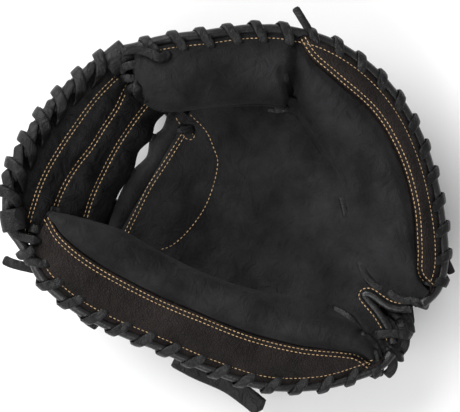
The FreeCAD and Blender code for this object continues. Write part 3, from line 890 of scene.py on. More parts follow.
SLOTS = {"thumb": [[(-36.1, -84.5), (-35.2, -91), (-36.2, -98), (-39.2, -106)],
                   [(-41, -108), (-41, -114), (-44, -121), (-48, -125.5)]],
         "finger": [[(-0.5, -84), (-7.1, -92.9), (-9.6, -100), (-8.6, -107)],
                    [(-8, -109), (-9.9, -114.5), (-9, -122)],
                    [(29.7, -53.8), (25, -58), (19.3, -64.1)]],
         "toe": [[(77.2, 17.4), (73.6, 13.8), (70.3, 10.2), (68.7, 5.6)]]}


def grooved(p, names, depth=2.6, wide=3.6):
    """Presses the places where a lace lies into the leather."""
    q = p.copy()
    plan = p[..., :2].reshape(-1, 2)
    for name in names:
        for line in SLOTS[name]:
            gap = near(plan, dense(line, 30))
            q[..., 2] -= (depth * np.exp(-(gap / wide) ** 4)).reshape(p.shape[:2])
    return q


def padded_piece(name, grid, thick, nodes):
    obj = remember(make_object(name, *hide_panel(grid, thick)))
    finished(obj, "palm", BENT, nodes)


def roll_piece(name, grid, seed, nodes, slots):
    waved = weathered(weathered(grid, 26, 0.9, seed), 9, 0.9 * 0.35, seed + 5)
    padded_piece(name, grooved(waved, slots), 2.6, nodes)


def settle(p):
    """How far the pocket leather's own waves lift it, so that a roll's foot can lie on it."""
    x, y = p[..., 0].ravel(), p[..., 1].ravel()
    return (pocket_leather_height(x, y) - palm_height(x, y)).reshape(p.shape[:2])


def build_rolls():
    thumb = section_grid(seam_thumb, fold_thumb, thumb_keys, 170, 36)
    roll_piece("thumb_roll", thumb, 11.0, ("thumb_pad_cover", "thumb_pad"), ["thumb"])
    toe = section_grid(toe_outer, toe_inner, toe_keys, 110, 40)
    finger = section_grid(seam_finger, fold_finger, finger_keys, 150, 40)
    both = np.concatenate([toe, finger])
    both[..., 2] += settle(both) * smooth(0.6, 0.95, np.linspace(0, 1, 40))[None, :]
    roll_piece("finger_and_toe_roll", both, 23.0, ("finger_pad_cover", "finger_pad", "toe_cover", "toe_pad"),
               ["finger", "toe"])


def part_line(line, first, last, count=240):
    return resample(pick(line, np.linspace(first, last, 400)), count)


def share_at(line, x, y):
    """The share along a curve nearest a plan place."""
    gap = np.hypot(line[:, 0] - x, line[:, 1] - y)
    return float(np.argmin(gap)) / (len(line) - 1)


def build_panels():
    for name, rim, first, seam, across, seed, nodes in (
            ("thumb_panel", rim_thumb, 0.0, seam_thumb, 18, 41.0, ("thumb_rim_panel", "thumb_bumper")),
            ("finger_panel", rim_finger, share_at(rim_finger, 106, 17), seam_finger, 16, 47.0,
             ("finger_rim_panel",))):
        grid = section_grid(part_line(rim, first, 0.985), seam, panel_keys, 150, across)
        obj = remember(make_object(name, *hide_panel(weathered(grid, 18, 0.5, seed), 2.2)))
        finished(obj, "panel", BENT, nodes)


# ---------------------------------------------------------------- web
WEB_HEIGHTS = (80.0, 73.5, 64.0)
GAP_LINE = [(-74, 62, 56), (-66, 66, 55), (-54, 69, 54), (-39, 71, 52.5), (-24, 70, 51.5), (-11, 73.2, 51),
            (0, 70.4, 51.5),
            (10, 73, 52), (20, 70.4, 54), (32, 67, 55)]


WEB_ROWS = (9, 10, 11, 12)
WEB_SWELL = (0.8, 2.6, 3.0, 3.4)
WEB_HEM = ((1.4, -1.0), (3.2, -1.3), (5.0, -0.6), (6.6, 1.0), (7.4, 3.4), (7.6, 6.0))  # down and back


def web_grid():
    """The web from the rim down over three pleats to its lower edge, which is turned under."""
    columns = 130
    lines = [dense(lifted(RIM_WEB), columns)]
    lines += [dense(flat(line, z), columns) for line, z in zip(WEB_SEAMS, WEB_HEIGHTS)]
    lines.append(dense(GAP_LINE, columns))
    rows = []
    for a, b, swell, count in zip(lines, lines[1:], WEB_SWELL, WEB_ROWS):
        for k in range(count):
            t = k / count
            row = a * (1 - t) + b * t
            row[:, 2] += swell * math.sin(math.pi * t) ** 0.7
            rows.append(row)
    edge = lines[-1]
    rows.append(edge)
    rows += [edge + np.array([0, back, -down]) for down, back in WEB_HEM]
    p = np.array(rows).transpose(1, 0, 2)
    middle = 1 - np.abs(np.linspace(-1, 1, columns))[:, None] ** 3
    coarse = 1.5 * ripple(p[..., 0] * 0.7, p[..., 1] * 1.6, 10, 51.0)
    crinkle = coarse + 0.8 * ripple(p[..., 0], p[..., 1], 4.6, 57.0)
    p[..., 2] += crinkle * middle * 0.9
    return p


def build_web():
    obj = remember(make_object("web_leather", *hide_panel(web_grid(), 2.4)))
    finished(obj, "web", BENT, ("web",))


TOP_SEAM = [(-66, 55.5), (-56, 55.5), (-45, 56), (-27, 57), (-9, 56), (13, 55), (24, 55)]
TOP_EDGE = [(-66, 64), (-54, 66.5), (-39, 69), (-24, 69.6), (-11, 66.4), (0, 69.8), (9, 66.6), (18, 67.6),
            (26, 67)]


def build_palm_top():
    """The palm's rolled top edge, below the gap in the web."""
    rows = []
    for a, b in zip(dense(TOP_SEAM, 110), dense(TOP_EDGE, 110)):
        z = float(palm_height(a[0], a[1])) + 1.0
        w = b[1] - a[1]
        keys = [(-1.5, z - 2.4), (0.2, z - 0.3), (0.22 * w, z + 3.0), (0.5 * w, z + 4.8), (0.78 * w, z + 3.4),
                (1.0 * w, z - 0.6), (0.98 * w, z - 5.0), (0.75 * w, z - 7.8), (0.4 * w, z - 8.2)]
        rows.append(placed_section(a, (b - a) / np.linalg.norm(b - a), dense(keys, 22)))
    padded_piece("palm_top_roll_leather", weathered(np.array(rows), 12, 0.5, 61.0), 2.2, ("palm_top_roll",))


# ---------------------------------------------------------------- bindings
BINDING_R = 3.4


def tube(name, path, radius, body, node, waves=0.0):
    """A round binding along a path."""
    scale = 1 + waves * ripple(path[:, 0], path[:, 1], 7, 3.0)
    mesh = sweep(path, np.tile([0.0, 0.0, 1.0], (len(path), 1)), round_section(radius), scale)
    finished(make_object(name, *mesh), "binding", body, (node,))


def build_bindings():
    for side, line, count in (("thumb", rim_thumb, 260), ("finger", rim_finger, 260), ("web", rim_web, 200)):
        tube(side + "_binding_leather", part_line(line, 0, 1, count), BINDING_R, BENT, side + "_binding",
             0.05)
    line = dense(flat(NOTCH), 90)
    line[:, 2] = palm_height(line[:, 0], line[:, 1]) - 0.8
    tube("notch_binding_leather", line, 2.7, BENT, "notch_binding", 0.03)


# ---------------------------------------------------------------- rim lacing
WRAP_PITCH = 17.4
HOLE_INSET = 8.5  # from the rim's line in to a wrap's hole


def wrap_shape(slant, advance):
    """One turn of lace: X along the rim, Y out of the mitt, Z up."""
    r = BINDING_R + 0.5 * LACE_THICK + 0.25
    hole = HOLE_INSET
    back = advance - slant
    path = [(-0.05 * slant, -hole - 1.6, -3.0), (0.0, -hole - 0.5, 0.3), (0.12 * slant, -hole + 1.8, 1.7),
            (0.42 * slant, -0.5 * hole, 3.3), (0.7 * slant, -0.8, r), (0.9 * slant, 0.72 * r, 0.72 * r),
            (slant, r, 0.0), (slant + 0.15 * back, 0.72 * r, -0.72 * r), (slant + 0.4 * back, -0.8, -r - 0.3),
            (slant + 0.8 * back, -0.6 * hole, -r - 1.0), (advance, -hole, -r - 0.4),
            (advance, -hole - 1.4, -2.4)]
    path = dense(path, 34)
    radial = path * np.array([0, 1, 1.0]) + np.array([0, 0.01, 0])
    return make_object("wrap shape", *sweep(path, radial, lace_section(6.2, LACE_THICK),
                                            ends_scale(34, 0.8, 0.8)))


def rim_wraps(name, line, first, last, slant, advance, backward, node, surface):
    """Laces one side's rim with turns of lace, their holes on the leather."""
    p, ahead, out = rim_frame(line, even_shares(line, first, last, WRAP_PITCH))
    run = -ahead if backward else ahead
    places, _ = laid(surface, (p - out * HOLE_INSET)[:, :2])
    inward = places - p
    inward = unit(inward - run * (inward * run).sum(1, keepdims=True))
    shape = wrap_shape(slant, advance)
    obj = spread(name, "lace wraps", p, run, np.cross(run, -inward), "lace", Wrap=shape, Uneven=0.05)
    bpy.data.objects.remove(shape)
    finished(obj, "lace", BENT, (node,))


def even_shares(line, first, last, pitch):
    length = run_length(line) * (last - first)
    return np.linspace(first, last, max(2, int(round(length / pitch)) + 1))


def corner_band(name, line, share, width, lean, node):
    """The broad leather band that ties two rims together: a flat ring round both, leaning along the rim."""
    p, ahead, out = (part[0] for part in rim_frame(line, np.array([share])))
    ring = []
    for t in np.linspace(0, 2 * math.pi, 40, endpoint=False):
        y = math.cos(t) * 7.4 - 3.6
        z = math.sin(t) * 5.6 + (1.2 if math.sin(t) > 0 else 0.0)
        ring.append(p + out * y + np.array([0, 0, z]) + ahead * (lean * y))
    ring = np.array(ring)
    mesh = sweep(ring, ring - ring.mean(0), lace_section(width, 2.2), None, True)
    finished(make_object(name, *mesh), "lace", BENT, (node,))


# Plan place and rise above the leather under it; a third number over 30 is a height instead.
LACES = {
    "thumb_side_laces": (["palm_lace_thumb"], [
        [(-36.3, -83.5, -4.5), (-36.1, -85.5, -0.6), (-35.3, -91, 0.5), (-36.1, -98, 0.5),
         (-39, -105.4, -0.4), (-39.8, -107, -4.5)],
        [(-40.8, -106.6, -4.5), (-41, -108.6, -0.3), (-41, -114, 0.5), (-43.6, -120.6, 0.6),
         (-48, -125, 1.0), (-53, -129, 50),
         (-58, -131.5, 46)],
        [(-84, 108.5, 74), (-85.5, 106, 83), (-85, 102, 84.5), (-83, 98, 79)],
        [(-90, 116, 88), (-94, 112, 86.5), (-93, 105.5, 86), (-91.5, 99.5, 86.8), (-92.6, 96.8, 83),
         (-96, 96.4, 79)],
        [(-96, 97.5, 87), (-100, 99, 86.6), (-104, 102, 82), (-103, 105, 76)]]),
    "finger_side_laces": (["palm_lace_finger"], [
        [(0.4, -82.5, -4.5), (-0.8, -84.8, -0.4), (-6.6, -92.4, 0.5), (-9.4, -99.8, 0.5), (-8.7, -106, -0.4),
         (-8.2, -108, -4.5)],
        [(-8.2, -107.6, -4.5), (-7.6, -109.6, -0.3), (-9.2, -114.5, 0.5), (-8.6, -120.8, 0.6),
         (-6, -125.5, 51.5), (-5, -131, 53),
         (-4, -136.5, 46)],
        [(30.6, -52, -5), (29, -54.8, -0.4), (25, -58.6, 0.4), (20.4, -63, -0.4), (18.6, -65, -5)],
        [(77.6, 18.4, -5), (76.6, 16.8, -0.4), (73.4, 13.6, 0.5), (70.2, 10, 0.5), (68.7, 6.2, -0.4),
         (68.3, 4.2, -5)],
        [(53, 16.5, -3), (54.6, 14, -0.4), (56.4, 9.4, 0.6), (59.6, 4.6, -0.4), (62, 1.6, -3)],
        [(33, 113, 84), (38, 110.5, 88.6), (43.6, 104, 89), (45.5, 97, 89), (46, 90, 90), (49, 86.4, 88),
         (52.6, 87, 82)],
        [(26, 106, 84), (31, 104.6, 88), (35.4, 99.6, 88), (37, 93.6, 86), (37.4, 90.6, 80)],
        [(21, 103.5, 78), (24.4, 102, 84), (26.6, 98, 85), (29, 94, 84), (30, 92, 78)],
        [(17, 96, 76), (20.6, 95.4, 82.5), (24.6, 92.5, 84), (24.6, 88, 82), (20.8, 84.6, 78), (17, 86, 74)],
        [(27, 90, 76), (25.6, 92.8, 84.5), (21.4, 91.4, 85), (19, 87.5, 79), (20, 84, 74)]]),
    "lace_tails_thumb": (["lace_ends_thumb"], [
        [(-101, 84, 70), (-106, 88, 68), (-109.5, 97, 66), (-112, 106, 64), (-112.5, 111.5, 62.5)],
        [(-110, 62, 62), (-115.5, 55, 62), (-119, 47, 60.5), (-119.5, 39, 59)],
        [(-41, -124, 50), (-43.4, -130.5, 52.5), (-46.5, -135, 50), (-51, -136.4, 47), (-55.5, -135.4, 44)]]),
    "lace_tails_finger": (["lace_ends_finger"], [
        [(101, 13, 62), (108, 16, 66.5), (113, 24, 67), (117, 31.5, 66)],
        [(26, -122, 50), (27, -130, 48), (24.5, -135, 47), (21.5, -139, 46)]]),
    "heel_knots": ([], [
        [(-37.4, -114.6, 46), (-36, -117, 51.5), (-30.5, -124.8, 52.5), (-26.6, -133.4, 51.5),
         (-26.4, -136.6, 47)],
        [(-34.6, -119.5, 44), (-37.6, -122.6, 49.5), (-39.8, -129.4, 50.5), (-41, -136.6, 49),
         (-40, -138.6, 45)],
        [(-20.6, -122.6, 40), (-23, -127.6, 47.4), (-28.4, -133.6, 48.4), (-34, -136, 47.6),
         (-39.5, -135.4, 43)],
        [(-24.6, -112, 37), (-25, -119, 41), (-27, -127, 45), (-31.4, -133, 45), (-34, -137, 40)],
        [(-19.4, -112, 37), (-19, -119, 40.5), (-20.6, -127, 43), (-24, -132.6, 41.5), (-26, -135, 37)],
        [(-15.6, -119, 38), (-16.5, -126, 42), (-20, -132, 42), (-24.5, -136, 38)]]),
    "web_tie_laces_leather": (["web_tie_laces"], [
        [(-24.6, 74.6, 44), (-24.4, 71.4, 48.6), (-24.2, 68.4, 48.6), (-24, 65, 44)],
        [(0.8, 75, 44), (1, 72, 48), (1.2, 68.6, 48), (1.4, 65, 44)],
        [(16.5, 58, -3), (14.6, 56.6, 1.8), (17.6, 51.6, 1.8), (18.9, 48.6, 0.2), (19.4, 47, -3)]]),
}
LACE_WIDTHS = {"lace_tails_finger": 5.0, "lace_tails_thumb": 6.2, "heel_knots": 6.0}
LACE_WIDTH = 5.6
RISE_LIMIT = 30.0
LACE_SINK = 1.0
BROAD_TAIL = [(-113, -14, 44), (-112.6, -30, 40), (-110.6, -50, 36), (-112, -66, 33), (-114, -78, 32)]
BROAD_TAIL_FACE = (-0.35, 0.0, 1.0)


def build_laces():
    surface = surface_tree(FRONT)
    for name, (nodes, paths) in LACES.items():
        strips = []
        for path in paths:
            points = []
            for x, y, z in path:
                if z < RISE_LIMIT:
                    z += laid(surface, [(x, y)])[0][0][2] - LACE_SINK
                points.append((x, y, z))
            strips.append(lace_strip(points, LACE_WIDTHS.get(name, LACE_WIDTH)))
        if name == "lace_tails_thumb":
            strips.append(sweep(dense(BROAD_TAIL, 40), np.tile(BROAD_TAIL_FACE, (40, 1)),
                                lace_section(13.0, 2.4),
                                ends_scale(40, 0.9, 0.35)))
        finished(join(name, strips), "lace", BENT, nodes)


def build_lacing():
    surface = surface_tree(FRONT)
    rim_wraps("thumb_rim_wraps", rim_thumb, share_at(rim_thumb, -104, 90), 0.965, 7.4, WRAP_PITCH, True,
              "thumb_rim_lace", surface)
    rim_wraps("finger_rim_wraps", rim_finger, share_at(rim_finger, 53, 97), 0.955, -5.6, -WRAP_PITCH, False,
              "finger_rim_lace", surface)
    corner_band("thumb_corner_band", rim_web, share_at(rim_web, -89, 120), 14.0, 0.0, "thumb_corner_wrap")
    corner_band("finger_corner_band", rim_web, share_at(rim_web, 34, 115.5), 17.0, -0.25,
                "finger_corner_wrap")
    web_lacing(surface)


# Along the rim, out of it and up. A wrap's first three heights are over the leather under its hole.
WEB_WRAP_START = [(-0.9, -9.6, -3.5), (-0.2, -9.4, 0.5), (3.0, -8.6, 2.6)]
WEB_WRAP_REST = [(7.0, -6.6, 5.6), (10.2, -3.6, 6.7), (12.2, 0.0, 6.6), (13.2, 3.6, 4.4), (13.7, 5.4, 0.6),
                 (13.9, 4.6, -3.2), (14.2, 1.0, -5.2), (15.4, -4.0, -6.0), (16.6, -8.0, -5.6)]
WEB_RUNG = [(4.6, -5.4, 1.2), (6.6, -4.4, 3.4), (10.0, -3.2, 4.9), (15.0, -2.2, 5.1), (19.6, -1.4, 4.9),
            (23.4, -0.6, 3.6), (25.6, -0.4, 1.4)]


def web_lacing(surface):
    """Lace over the web's rim: a comma-shaped wrap on top of a rung in each cell."""
    shares = even_shares(rim_web, share_at(rim_web, -84, 122.5), share_at(rim_web, 15, 123.5), WRAP_PITCH)
    wraps, rungs = [], []
    frames = list(zip(*rim_frame(rim_web, shares)))
    for i, (p, ahead, out) in enumerate(frames):
        foot = laid(surface, [(p - out * 9.0)[:2]])[0][0][2] - p[2]
        wrap = [(x, y, foot + z) for x, y, z in WEB_WRAP_START] + WEB_WRAP_REST
        centre = p - out * 3.0 - np.array([0, 0, 3.0])
        for bucket, path, width in ((wraps, wrap, 7.0), (rungs, WEB_RUNG, 6.6)):
            if bucket is rungs and i == len(frames) - 1:
                continue
            strip = dense([p + ahead * x + out * y + np.array([0, 0, z]) for x, y, z in path], 34)
            radial = strip - centre
            radial -= ahead * (radial @ ahead)[:, None]
            bucket.append(sweep(strip, radial, lace_section(width, LACE_THICK), ends_scale(34, 0.7, 0.8)))
    finished(join("web_rim_wraps", wraps), "lace", BENT, ("web_cross_lace",))
    finished(join("web_rim_rungs", rungs), "lace", BENT)


# ---------------------------------------------------------------- stitching
def build_stitching(stitches):
    """Tan thread along every seam of the front."""
    surface = surface_tree(FRONT)
    web = surface_tree([obj for obj in FRONT if obj.name == "web_leather"])
    rows = [side_line(line, offset) for line in (seam_thumb, seam_finger) for offset in (1.2, -1.3)]
    rows += [side_line(palm_seam, 1.0), side_line(palm_seam, 3.3), patch_seam[:, :2]]
    rows.append(dense([(13, 53.8), (11.6, 51), (11.8, 48), (14.2, 46.2), (16.4, 47.6), (15.4, 49.6)], 60))
    rows.append(dense([(19.6, 62.6), (17.4, 58), (16, 55)], 30))
    rows.append(side_line(dense(flat(NOTCH), 160), -3.6)[6:-6])
    marks = [stitch_marks(surface, row, stitches.pitch) for row in rows]
    for line in WEB_SEAMS:
        seam = dense(flat(line), 200)
        marks += [stitch_marks(web, side_line(seam, offset)[6:-6], stitches.pitch) for offset in (1.1, -1.1)]
    for line in (rim_thumb, rim_finger):
        p, _, out = rim_frame(line, np.linspace(0.03, 0.95, 300))
        marks.append(stitch_marks(surface, p - out * 5.6, stitches.pitch))
    stitched("front_stitching", marks, stitches, BENT)


# ---------------------------------------------------------------- back of the mitt
# The back panels' edges: the outer one under the rim, the inner one round the hand opening.
BACK_OUTER_FINGER = [(40, 103, 66), (69, 70, 62), (95, 27, 54), (105, -8, 49), (101, -40, 45), (87, -73, 39),
                     (62, -103, 37), (38, -121, 37)]
BACK_INNER_FINGER = [(25, 94, 40), (19, 64, 18), (6, 28, 8), (6, -4, 5), (12, -34, 5), (26, -58, 7),
                     (40, -78, 10),
                     (30, -104, 14)]
BACK_OUTER_THUMB = [(-96, 96, 66), (-108, 74, 63), (-111, 40, 57), (-107, 0, 50), (-101, -38, 45),
                    (-91, -73, 40),
                    (-74, -103, 38), (-60, -117, 38)]
BACK_INNER_THUMB = [(-58, 90, 40), (-44, 62, 18), (-36, 30, 8), (-34, -2, 5), (-38, -32, 5), (-50, -56, 7),
                    (-62, -78, 10), (-54, -104, 14)]


def back_keys(u, a, b, w):
    """From the rim down to the flat that the mitt lies on, and up to the edge of the hand opening."""
    fade = float(smooth(0.8, 1.0, abs(2 * u - 1)))
    low = 0.8 + 5.0 * fade
    return [(0, a[2] + 1.0), (0.035 * w, 0.86 * a[2]), (0.1 * w, 0.56 * a[2]), (0.2 * w, 0.28 * a[2] + low),
            (0.34 * w, 4.2 + low), (0.5 * w, low), (0.72 * w, low), (0.88 * w, 0.45 * b[2] + low * 0.5), (w, b[2])]


def stall_x(x, y):
    """A finger stall's line leans a little towards the toe."""
    return x + 0.09 * (y + 10)


def back_panel(name, outer, inner, node, body, valleys):
    grid = section_grid(dense(outer, 200), dense(inner, 200), back_keys, 150, 60)
    grid = weathered(grid, 30, 0.5, 71.0)
    y = grid[..., 1]
    fade = smooth(-62, -40, y) * (1 - smooth(48, 74, y))
    for x in valleys:
        grid[..., 2] += 2.4 * np.exp(-((grid[..., 0] - stall_x(x, y)) / 3.0) ** 2) * fade
    grid[..., 2] = np.maximum(grid[..., 2], 0.35)
    obj = make_object(name, *hide_panel(grid, 2.6, (0, 0, -1)))
    return finished(obj, "back", body, (node,))


def under_marks(obj, rows, pitch):
    """Stitch marks on the underside of a piece, found by looking up from below."""
    tree = surface_tree([obj])
    marks = []
    for row in rows:
        places, normals = [], []
        for x, y in stitch_plan(row, pitch):
            hit, normal, _, _ = tree.ray_cast(Vector((x, y, -50)), Vector((0, 0, 1)))
            if hit is not None:
                places.append(list(hit))
                normals.append(list(normal if normal.z < 0 else -normal))
        if len(places) >= 3:
            marks.append((np.array(places), unit(np.gradient(np.array(places), axis=0)), np.array(normals)))
    return marks


BACK_SIDES = (("finger", FINGER, -1, BACK_OUTER_FINGER, BACK_INNER_FINGER, (22.0, 39.0, 56.0, 73.0)),
              ("thumb", THUMB, 1, BACK_OUTER_THUMB, BACK_INNER_THUMB, (-62.0, -82.0)))


def build_back(stitches):
    """The two back panels with their stitches, then the rolled edge of the hand opening."""
    for side, body, turn, outer, inner, valleys in BACK_SIDES:
        panel = back_panel("back_%s_leather" % side, outer, inner, "back_%s_panel" % side, body, valleys)
        edge = dense(inner, 160)
        stalls = [np.array([(stall_x(x, y), y) for y in np.linspace(-50, 60, 60)]) for x in valleys]
        rim = [side_line(dense(outer, 160), -7.0 * turn)]
        rows = [side_line(edge, 6.0 * turn), side_line(edge, 8.6 * turn)]
        rows += stalls + rim if side == "finger" else rim + stalls
        stitched("back_%s_stitching" % side, under_marks(panel, rows, stitches.pitch), stitches, body)
    for side, body, _, _, inner, _ in BACK_SIDES:
        tube("opening_binding_%s_leather" % side, dense(inner, 160) + np.array([0, 0, 1.4]), 2.6, body,
             "opening_binding_" + side)


STRAP_PATH = [(-60, 0, 26.5), (-56, 0, 24), (-47, 0, 20), (-34, 0, 10), (-26, 0, 9), (0, 0, 9), (12, 0, 10),
              (24, 0, 20), (31, 0, 24), (36, 0, 26.5)]
STRAP_EDGE = -115.0
STRAP_WIDTH = 38.0
TAB_MIDDLE = np.array([-7, -96])
TAB_CORNERS = ((14, -104, -90), (14, -88, 0), (-28, -88, 90), (-28, -104, 180))  # centre and first angle
TAB_CORNER_R = 8.0
TAB_UNDERSIDE = 6.4


def build_strap(stitches):
    """The wrist strap over the heel of the opening, with the pull tab that closes it."""
    path = dense(STRAP_PATH, 90)
    rows = []
    for t in np.linspace(0, 1, 26):
        crown = 0.8 * (1 - (2 * t - 1) ** 2)
        y = STRAP_EDGE + STRAP_WIDTH * t
        rows.append(np.stack([path[:, 0], np.full(90, y), path[:, 2] - crown + 0.4], axis=1))
    strap = make_object("wrist_strap_leather", *hide_panel(np.array(rows), 2.6, (0, 0, -1)))
    finished(strap, "back", STRAP, ("wrist_strap",))
    rows = [np.linspace((-54, y), (32, y), 40) for y in (-112, -80)]
    stitched("wrist_strap_stitching", under_marks(strap, rows, stitches.pitch), stitches, STRAP)
    outline = []
    for x, y, first in TAB_CORNERS:
        for t in np.radians(np.linspace(first, first + 90, 10)):
            outline.append((x + TAB_CORNER_R * math.cos(t), y + TAB_CORNER_R * math.sin(t)))
    tab = sheet_over("pull_tab_leather", outline, lambda x, y: np.full_like(x, TAB_UNDERSIDE), 2.4, 3.0)
    finished(tab, "back", TAB, ("pull_tab",))
    ring = (np.array(outline) - TAB_MIDDLE) * np.array([0.88, 0.84]) + TAB_MIDDLE
    rows = [np.vstack([ring, ring[:1]])]
    stitched("pull_tab_stitching", under_marks(tab, rows, stitches.pitch), stitches, TAB)


HEEL_LINING = [(-30, -98), (-12, -98), (-9, -112), (-8, -128), (-17, -135), (-31, -136), (-43, -132),
               (-38, -114),
               (-30, -98)]


def build_heel(stitches):
    """Dark lining leather seen through the notch, with its own row of stitches."""
    outline = resample(np.array(HEEL_LINING, float), 60)[:-1]
    heel = sheet_over("heel_lining", outline, lambda x, y: 34.0 + 0.1 * (y + 116), 2.0, 3.0)
    finished(remember(heel), "lining", BENT)
    row = dense([(-18.9, -108), (-20, -112.5), (-22, -118.5)], 40)
    marks = [stitch_marks(surface_tree(FRONT), row, stitches.pitch)]
    stitched("heel_lining_stitching", marks, stitches, BENT, 0.75)


KEPT_NODES = {"felt": ("palm_felt_finger", "palm_felt_thumb"),
              "lining": ("finger_lining", "thumb_lining", "stall_walls"),
              "lace": ("little_finger_loop", "thumb_loop"), "hook": ("loop_pad", "hook_pad")}


def dress_nodes():
    """Detailed finishes on the CAD nodes that stay as they are."""
    for look, names in KEPT_NODES.items():
        for name in names:
            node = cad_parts[name]
            for place in node.material_slots:
                place.material = LOOKS[look]


# ---------------------------------------------------------------- stage
FLOOR_HALF = 4.0
LIGHT_AIM = Vector((0, 0, 0.05))
CAMERA_RIGHT = Vector((0.5, -0.866, 0))
CAMERA_UP = Vector((0.866, 0.5, 0))
CAMERA_PLACE = (-0.0118, 0.00455)


def build_floor():
    mesh = bpy.data.meshes.new("floor")
    corners = [(x * FLOOR_HALF, y * FLOOR_HALF, 0) for x, y in ((-1, -1), (1, -1), (1, 1), (-1, 1))]
    mesh.from_pydata(corners, [], [(0, 1, 2, 3)])
    floor = add_object("floor", mesh)
    material, _, shader = node_tree("pale floor")
    shader.inputs["Base Color"].default_value = (0.86, 0.86, 0.86, 1)
    shader.inputs["Roughness"].default_value = 0.85
    floor.data.materials.append(material)


def build_lights(setting):
    for name, place, power, wide in (("key", (0.35, 1.15, 1.05), setting.key, 1.3),
                                     ("fill", (-1.25, 0.1, 1.3), setting.fill, 1.3),
                                     ("low", (0.4, -1.2, 1.3), setting.fill * 0.12, 1.2)):
        lamp = bpy.data.lights.new(name, "AREA")
        lamp.energy = power
        lamp.size = wide
        light = add_object(name, lamp)
        light.location = place
        light.rotation_euler = (LIGHT_AIM - Vector(place)).to_track_quat("-Z", "Y").to_euler()
    world = bpy.data.worlds.new("soft daylight")
    world.use_nodes = True
    sky = world.node_tree.nodes["Background"]
    sky.inputs["Color"].default_value = (1, 1, 1, 1)
    sky.inputs["Strength"].default_value = setting.sky
    bpy.context.scene.world = world
    bpy.context.scene.view_settings.view_transform = "Standard"


def build_camera(setting):
    """The camera looks straight down."""
    data = bpy.data.cameras.new("camera")
    data.lens = setting.lens
    data.sensor_width = 36
    data.clip_end = 20
    camera = add_object("camera", data)
    axes = (CAMERA_RIGHT.normalized(), CAMERA_UP.normalized(), Vector((0, 0, 1)))
    turn = Matrix(axes).transposed().to_4x4()
    turn.translation = Vector((*CAMERA_PLACE, setting.distance))
    camera.matrix_world = turn
    bpy.context.scene.camera = camera


# ---------------------------------------------------------------- settings, operators and panel
def colour(name, text, value):
    return bpy.props.FloatVectorProperty(name=name, description=text, subtype="COLOR", size=3, default=value,
                                         min=0, max=1)


def number(name, text, value, **extra):
    return bpy.props.FloatProperty(name=name, description=text, default=value, **extra)


class MittColours(bpy.types.PropertyGroup):
    palm: colour("Palm", "Colour of the napped leather", (0.0068, 0.0067, 0.0071))
    panel: colour("Panels", "Colour of the pebbled rim panels", (0.0076, 0.0059, 0.0053))
    thread: colour("Thread", "Colour of the stitching", (0.52, 0.34, 0.17))


class MittStitches(bpy.types.PropertyGroup):
    pitch: number("Pitch", "From one stitch to the next, millimetres", 2.75)
    length: number("Length", "Length of a stitch, millimetres", 2.1)
    thickness: number("Thickness", "Width of the thread, millimetres", 0.66)


class MittStage(bpy.types.PropertyGroup):
    key: number("Key light", "Main lamp's power", 34.0, unit="POWER")
    fill: number("Fill light", "Second lamp's power", 24.0, unit="POWER")
    sky: number("Sky", "Strength of the even light", 0.42)
    lens: number("Lens", "Focal length, millimetres", 302.0)
    distance: number("Distance", "Camera's height above the floor", 2.5, unit="LENGTH")


class MITT_OT_looks(bpy.types.Operator):
    """Make every finish and the node groups"""
    bl_idname = "mitt.looks"
    bl_label = "Finishes"

    def execute(self, context):
        make_looks(context.scene.mitt_colours)
        GROUPS["stitches"] = stitch_group()
        GROUPS["lace wraps"] = wrap_group()
        return {"FINISHED"}


class MITT_OT_pocket(bpy.types.Operator):
    """Pocket leather with its crescent patch"""
    bl_idname = "mitt.pocket"
    bl_label = "Pocket leather"

    def execute(self, context):
        build_pocket()
        return {"FINISHED"}


class MITT_OT_rolls(bpy.types.Operator):
    """Padded thumb, finger and toe rolls"""
    bl_idname = "mitt.rolls"
    bl_label = "Padded rolls"

    def execute(self, context):
        build_rolls()
        return {"FINISHED"}


class MITT_OT_panels(bpy.types.Operator):
    """Pebbled leather along the rim"""
    bl_idname = "mitt.panels"
    bl_label = "Rim panels"

    def execute(self, context):
        build_panels()
        return {"FINISHED"}


class MITT_OT_web(bpy.types.Operator):
    """Web between thumb and fingers, and the rolled top edge of the palm"""
    bl_idname = "mitt.web"
    bl_label = "Web"

    def execute(self, context):
        build_web()
        build_palm_top()
        return {"FINISHED"}


class MITT_OT_bindings(bpy.types.Operator):
    """Leather binding round the edges"""
    bl_idname = "mitt.bindings"
    bl_label = "Bindings"

    def execute(self, context):
        build_bindings()
        return {"FINISHED"}


class MITT_OT_lacing(bpy.types.Operator):
    """Rawhide lace round the rim"""
    bl_idname = "mitt.lacing"
    bl_label = "Rim lacing"

    def execute(self, context):
        build_lacing()
        return {"FINISHED"}


class MITT_OT_stitching(bpy.types.Operator):
    """Tan thread along every seam"""
    bl_idname = "mitt.stitching"
    bl_label = "Stitching"

    def execute(self, context):
        build_stitching(context.scene.mitt_stitches)
        return {"FINISHED"}


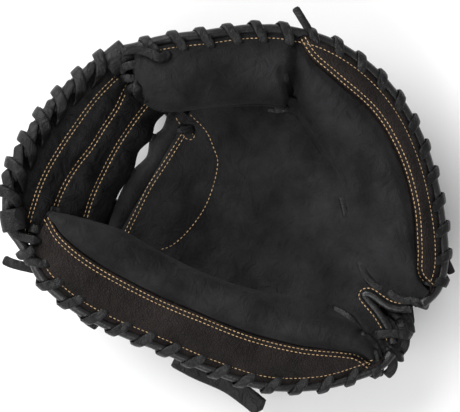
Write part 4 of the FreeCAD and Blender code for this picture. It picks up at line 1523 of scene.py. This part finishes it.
class MITT_OT_laces(bpy.types.Operator):
    """Laces through the leather, knots and loose ends"""
    bl_idname = "mitt.laces"
    bl_label = "Laces and knots"

    def execute(self, context):
        build_laces()
        return {"FINISHED"}


class MITT_OT_back(bpy.types.Operator):
    """Back leather, wrist strap, pull tab and heel lining"""
    bl_idname = "mitt.back"
    bl_label = "Back"

    def execute(self, context):
        stitches = context.scene.mitt_stitches
        build_back(stitches)
        build_strap(stitches)
        build_heel(stitches)
        dress_nodes()
        return {"FINISHED"}


class MITT_OT_stage(bpy.types.Operator):
    """Floor, lamps and camera"""
    bl_idname = "mitt.stage"
    bl_label = "Stage"

    def execute(self, context):
        build_floor()
        build_lights(context.scene.mitt_stage)
        build_camera(context.scene.mitt_stage)
        return {"FINISHED"}


OPERATORS = (MITT_OT_looks, MITT_OT_pocket, MITT_OT_rolls, MITT_OT_panels, MITT_OT_web, MITT_OT_bindings,
             MITT_OT_lacing,
             MITT_OT_laces, MITT_OT_stitching, MITT_OT_back, MITT_OT_stage)


class MITT_PT_panel(bpy.types.Panel):
    bl_label = "Mitt"
    bl_idname = "MITT_PT_panel"
    bl_space_type = "VIEW_3D"
    bl_region_type = "UI"
    bl_category = "Mitt"

    def draw(self, context):
        for operator in OPERATORS:
            self.layout.operator(operator.bl_idname)


CLASSES = (MittColours, MittStitches, MittStage, *OPERATORS, MITT_PT_panel)


def register():
    for cls in CLASSES:
        bpy.utils.register_class(cls)
    bpy.types.Scene.mitt_colours = bpy.props.PointerProperty(type=MittColours)
    bpy.types.Scene.mitt_stitches = bpy.props.PointerProperty(type=MittStitches)
    bpy.types.Scene.mitt_stage = bpy.props.PointerProperty(type=MittStage)


def unregister():
    for name in ("mitt_colours", "mitt_stitches", "mitt_stage"):
        delattr(bpy.types.Scene, name)
    for cls in reversed(CLASSES):
        bpy.utils.unregister_class(cls)


def main():
    register()
    for operator in OPERATORS:
        group_name, name = operator.bl_idname.split(".")
        getattr(getattr(bpy.ops, group_name), name)()


if __name__ == "__main__":
    main()
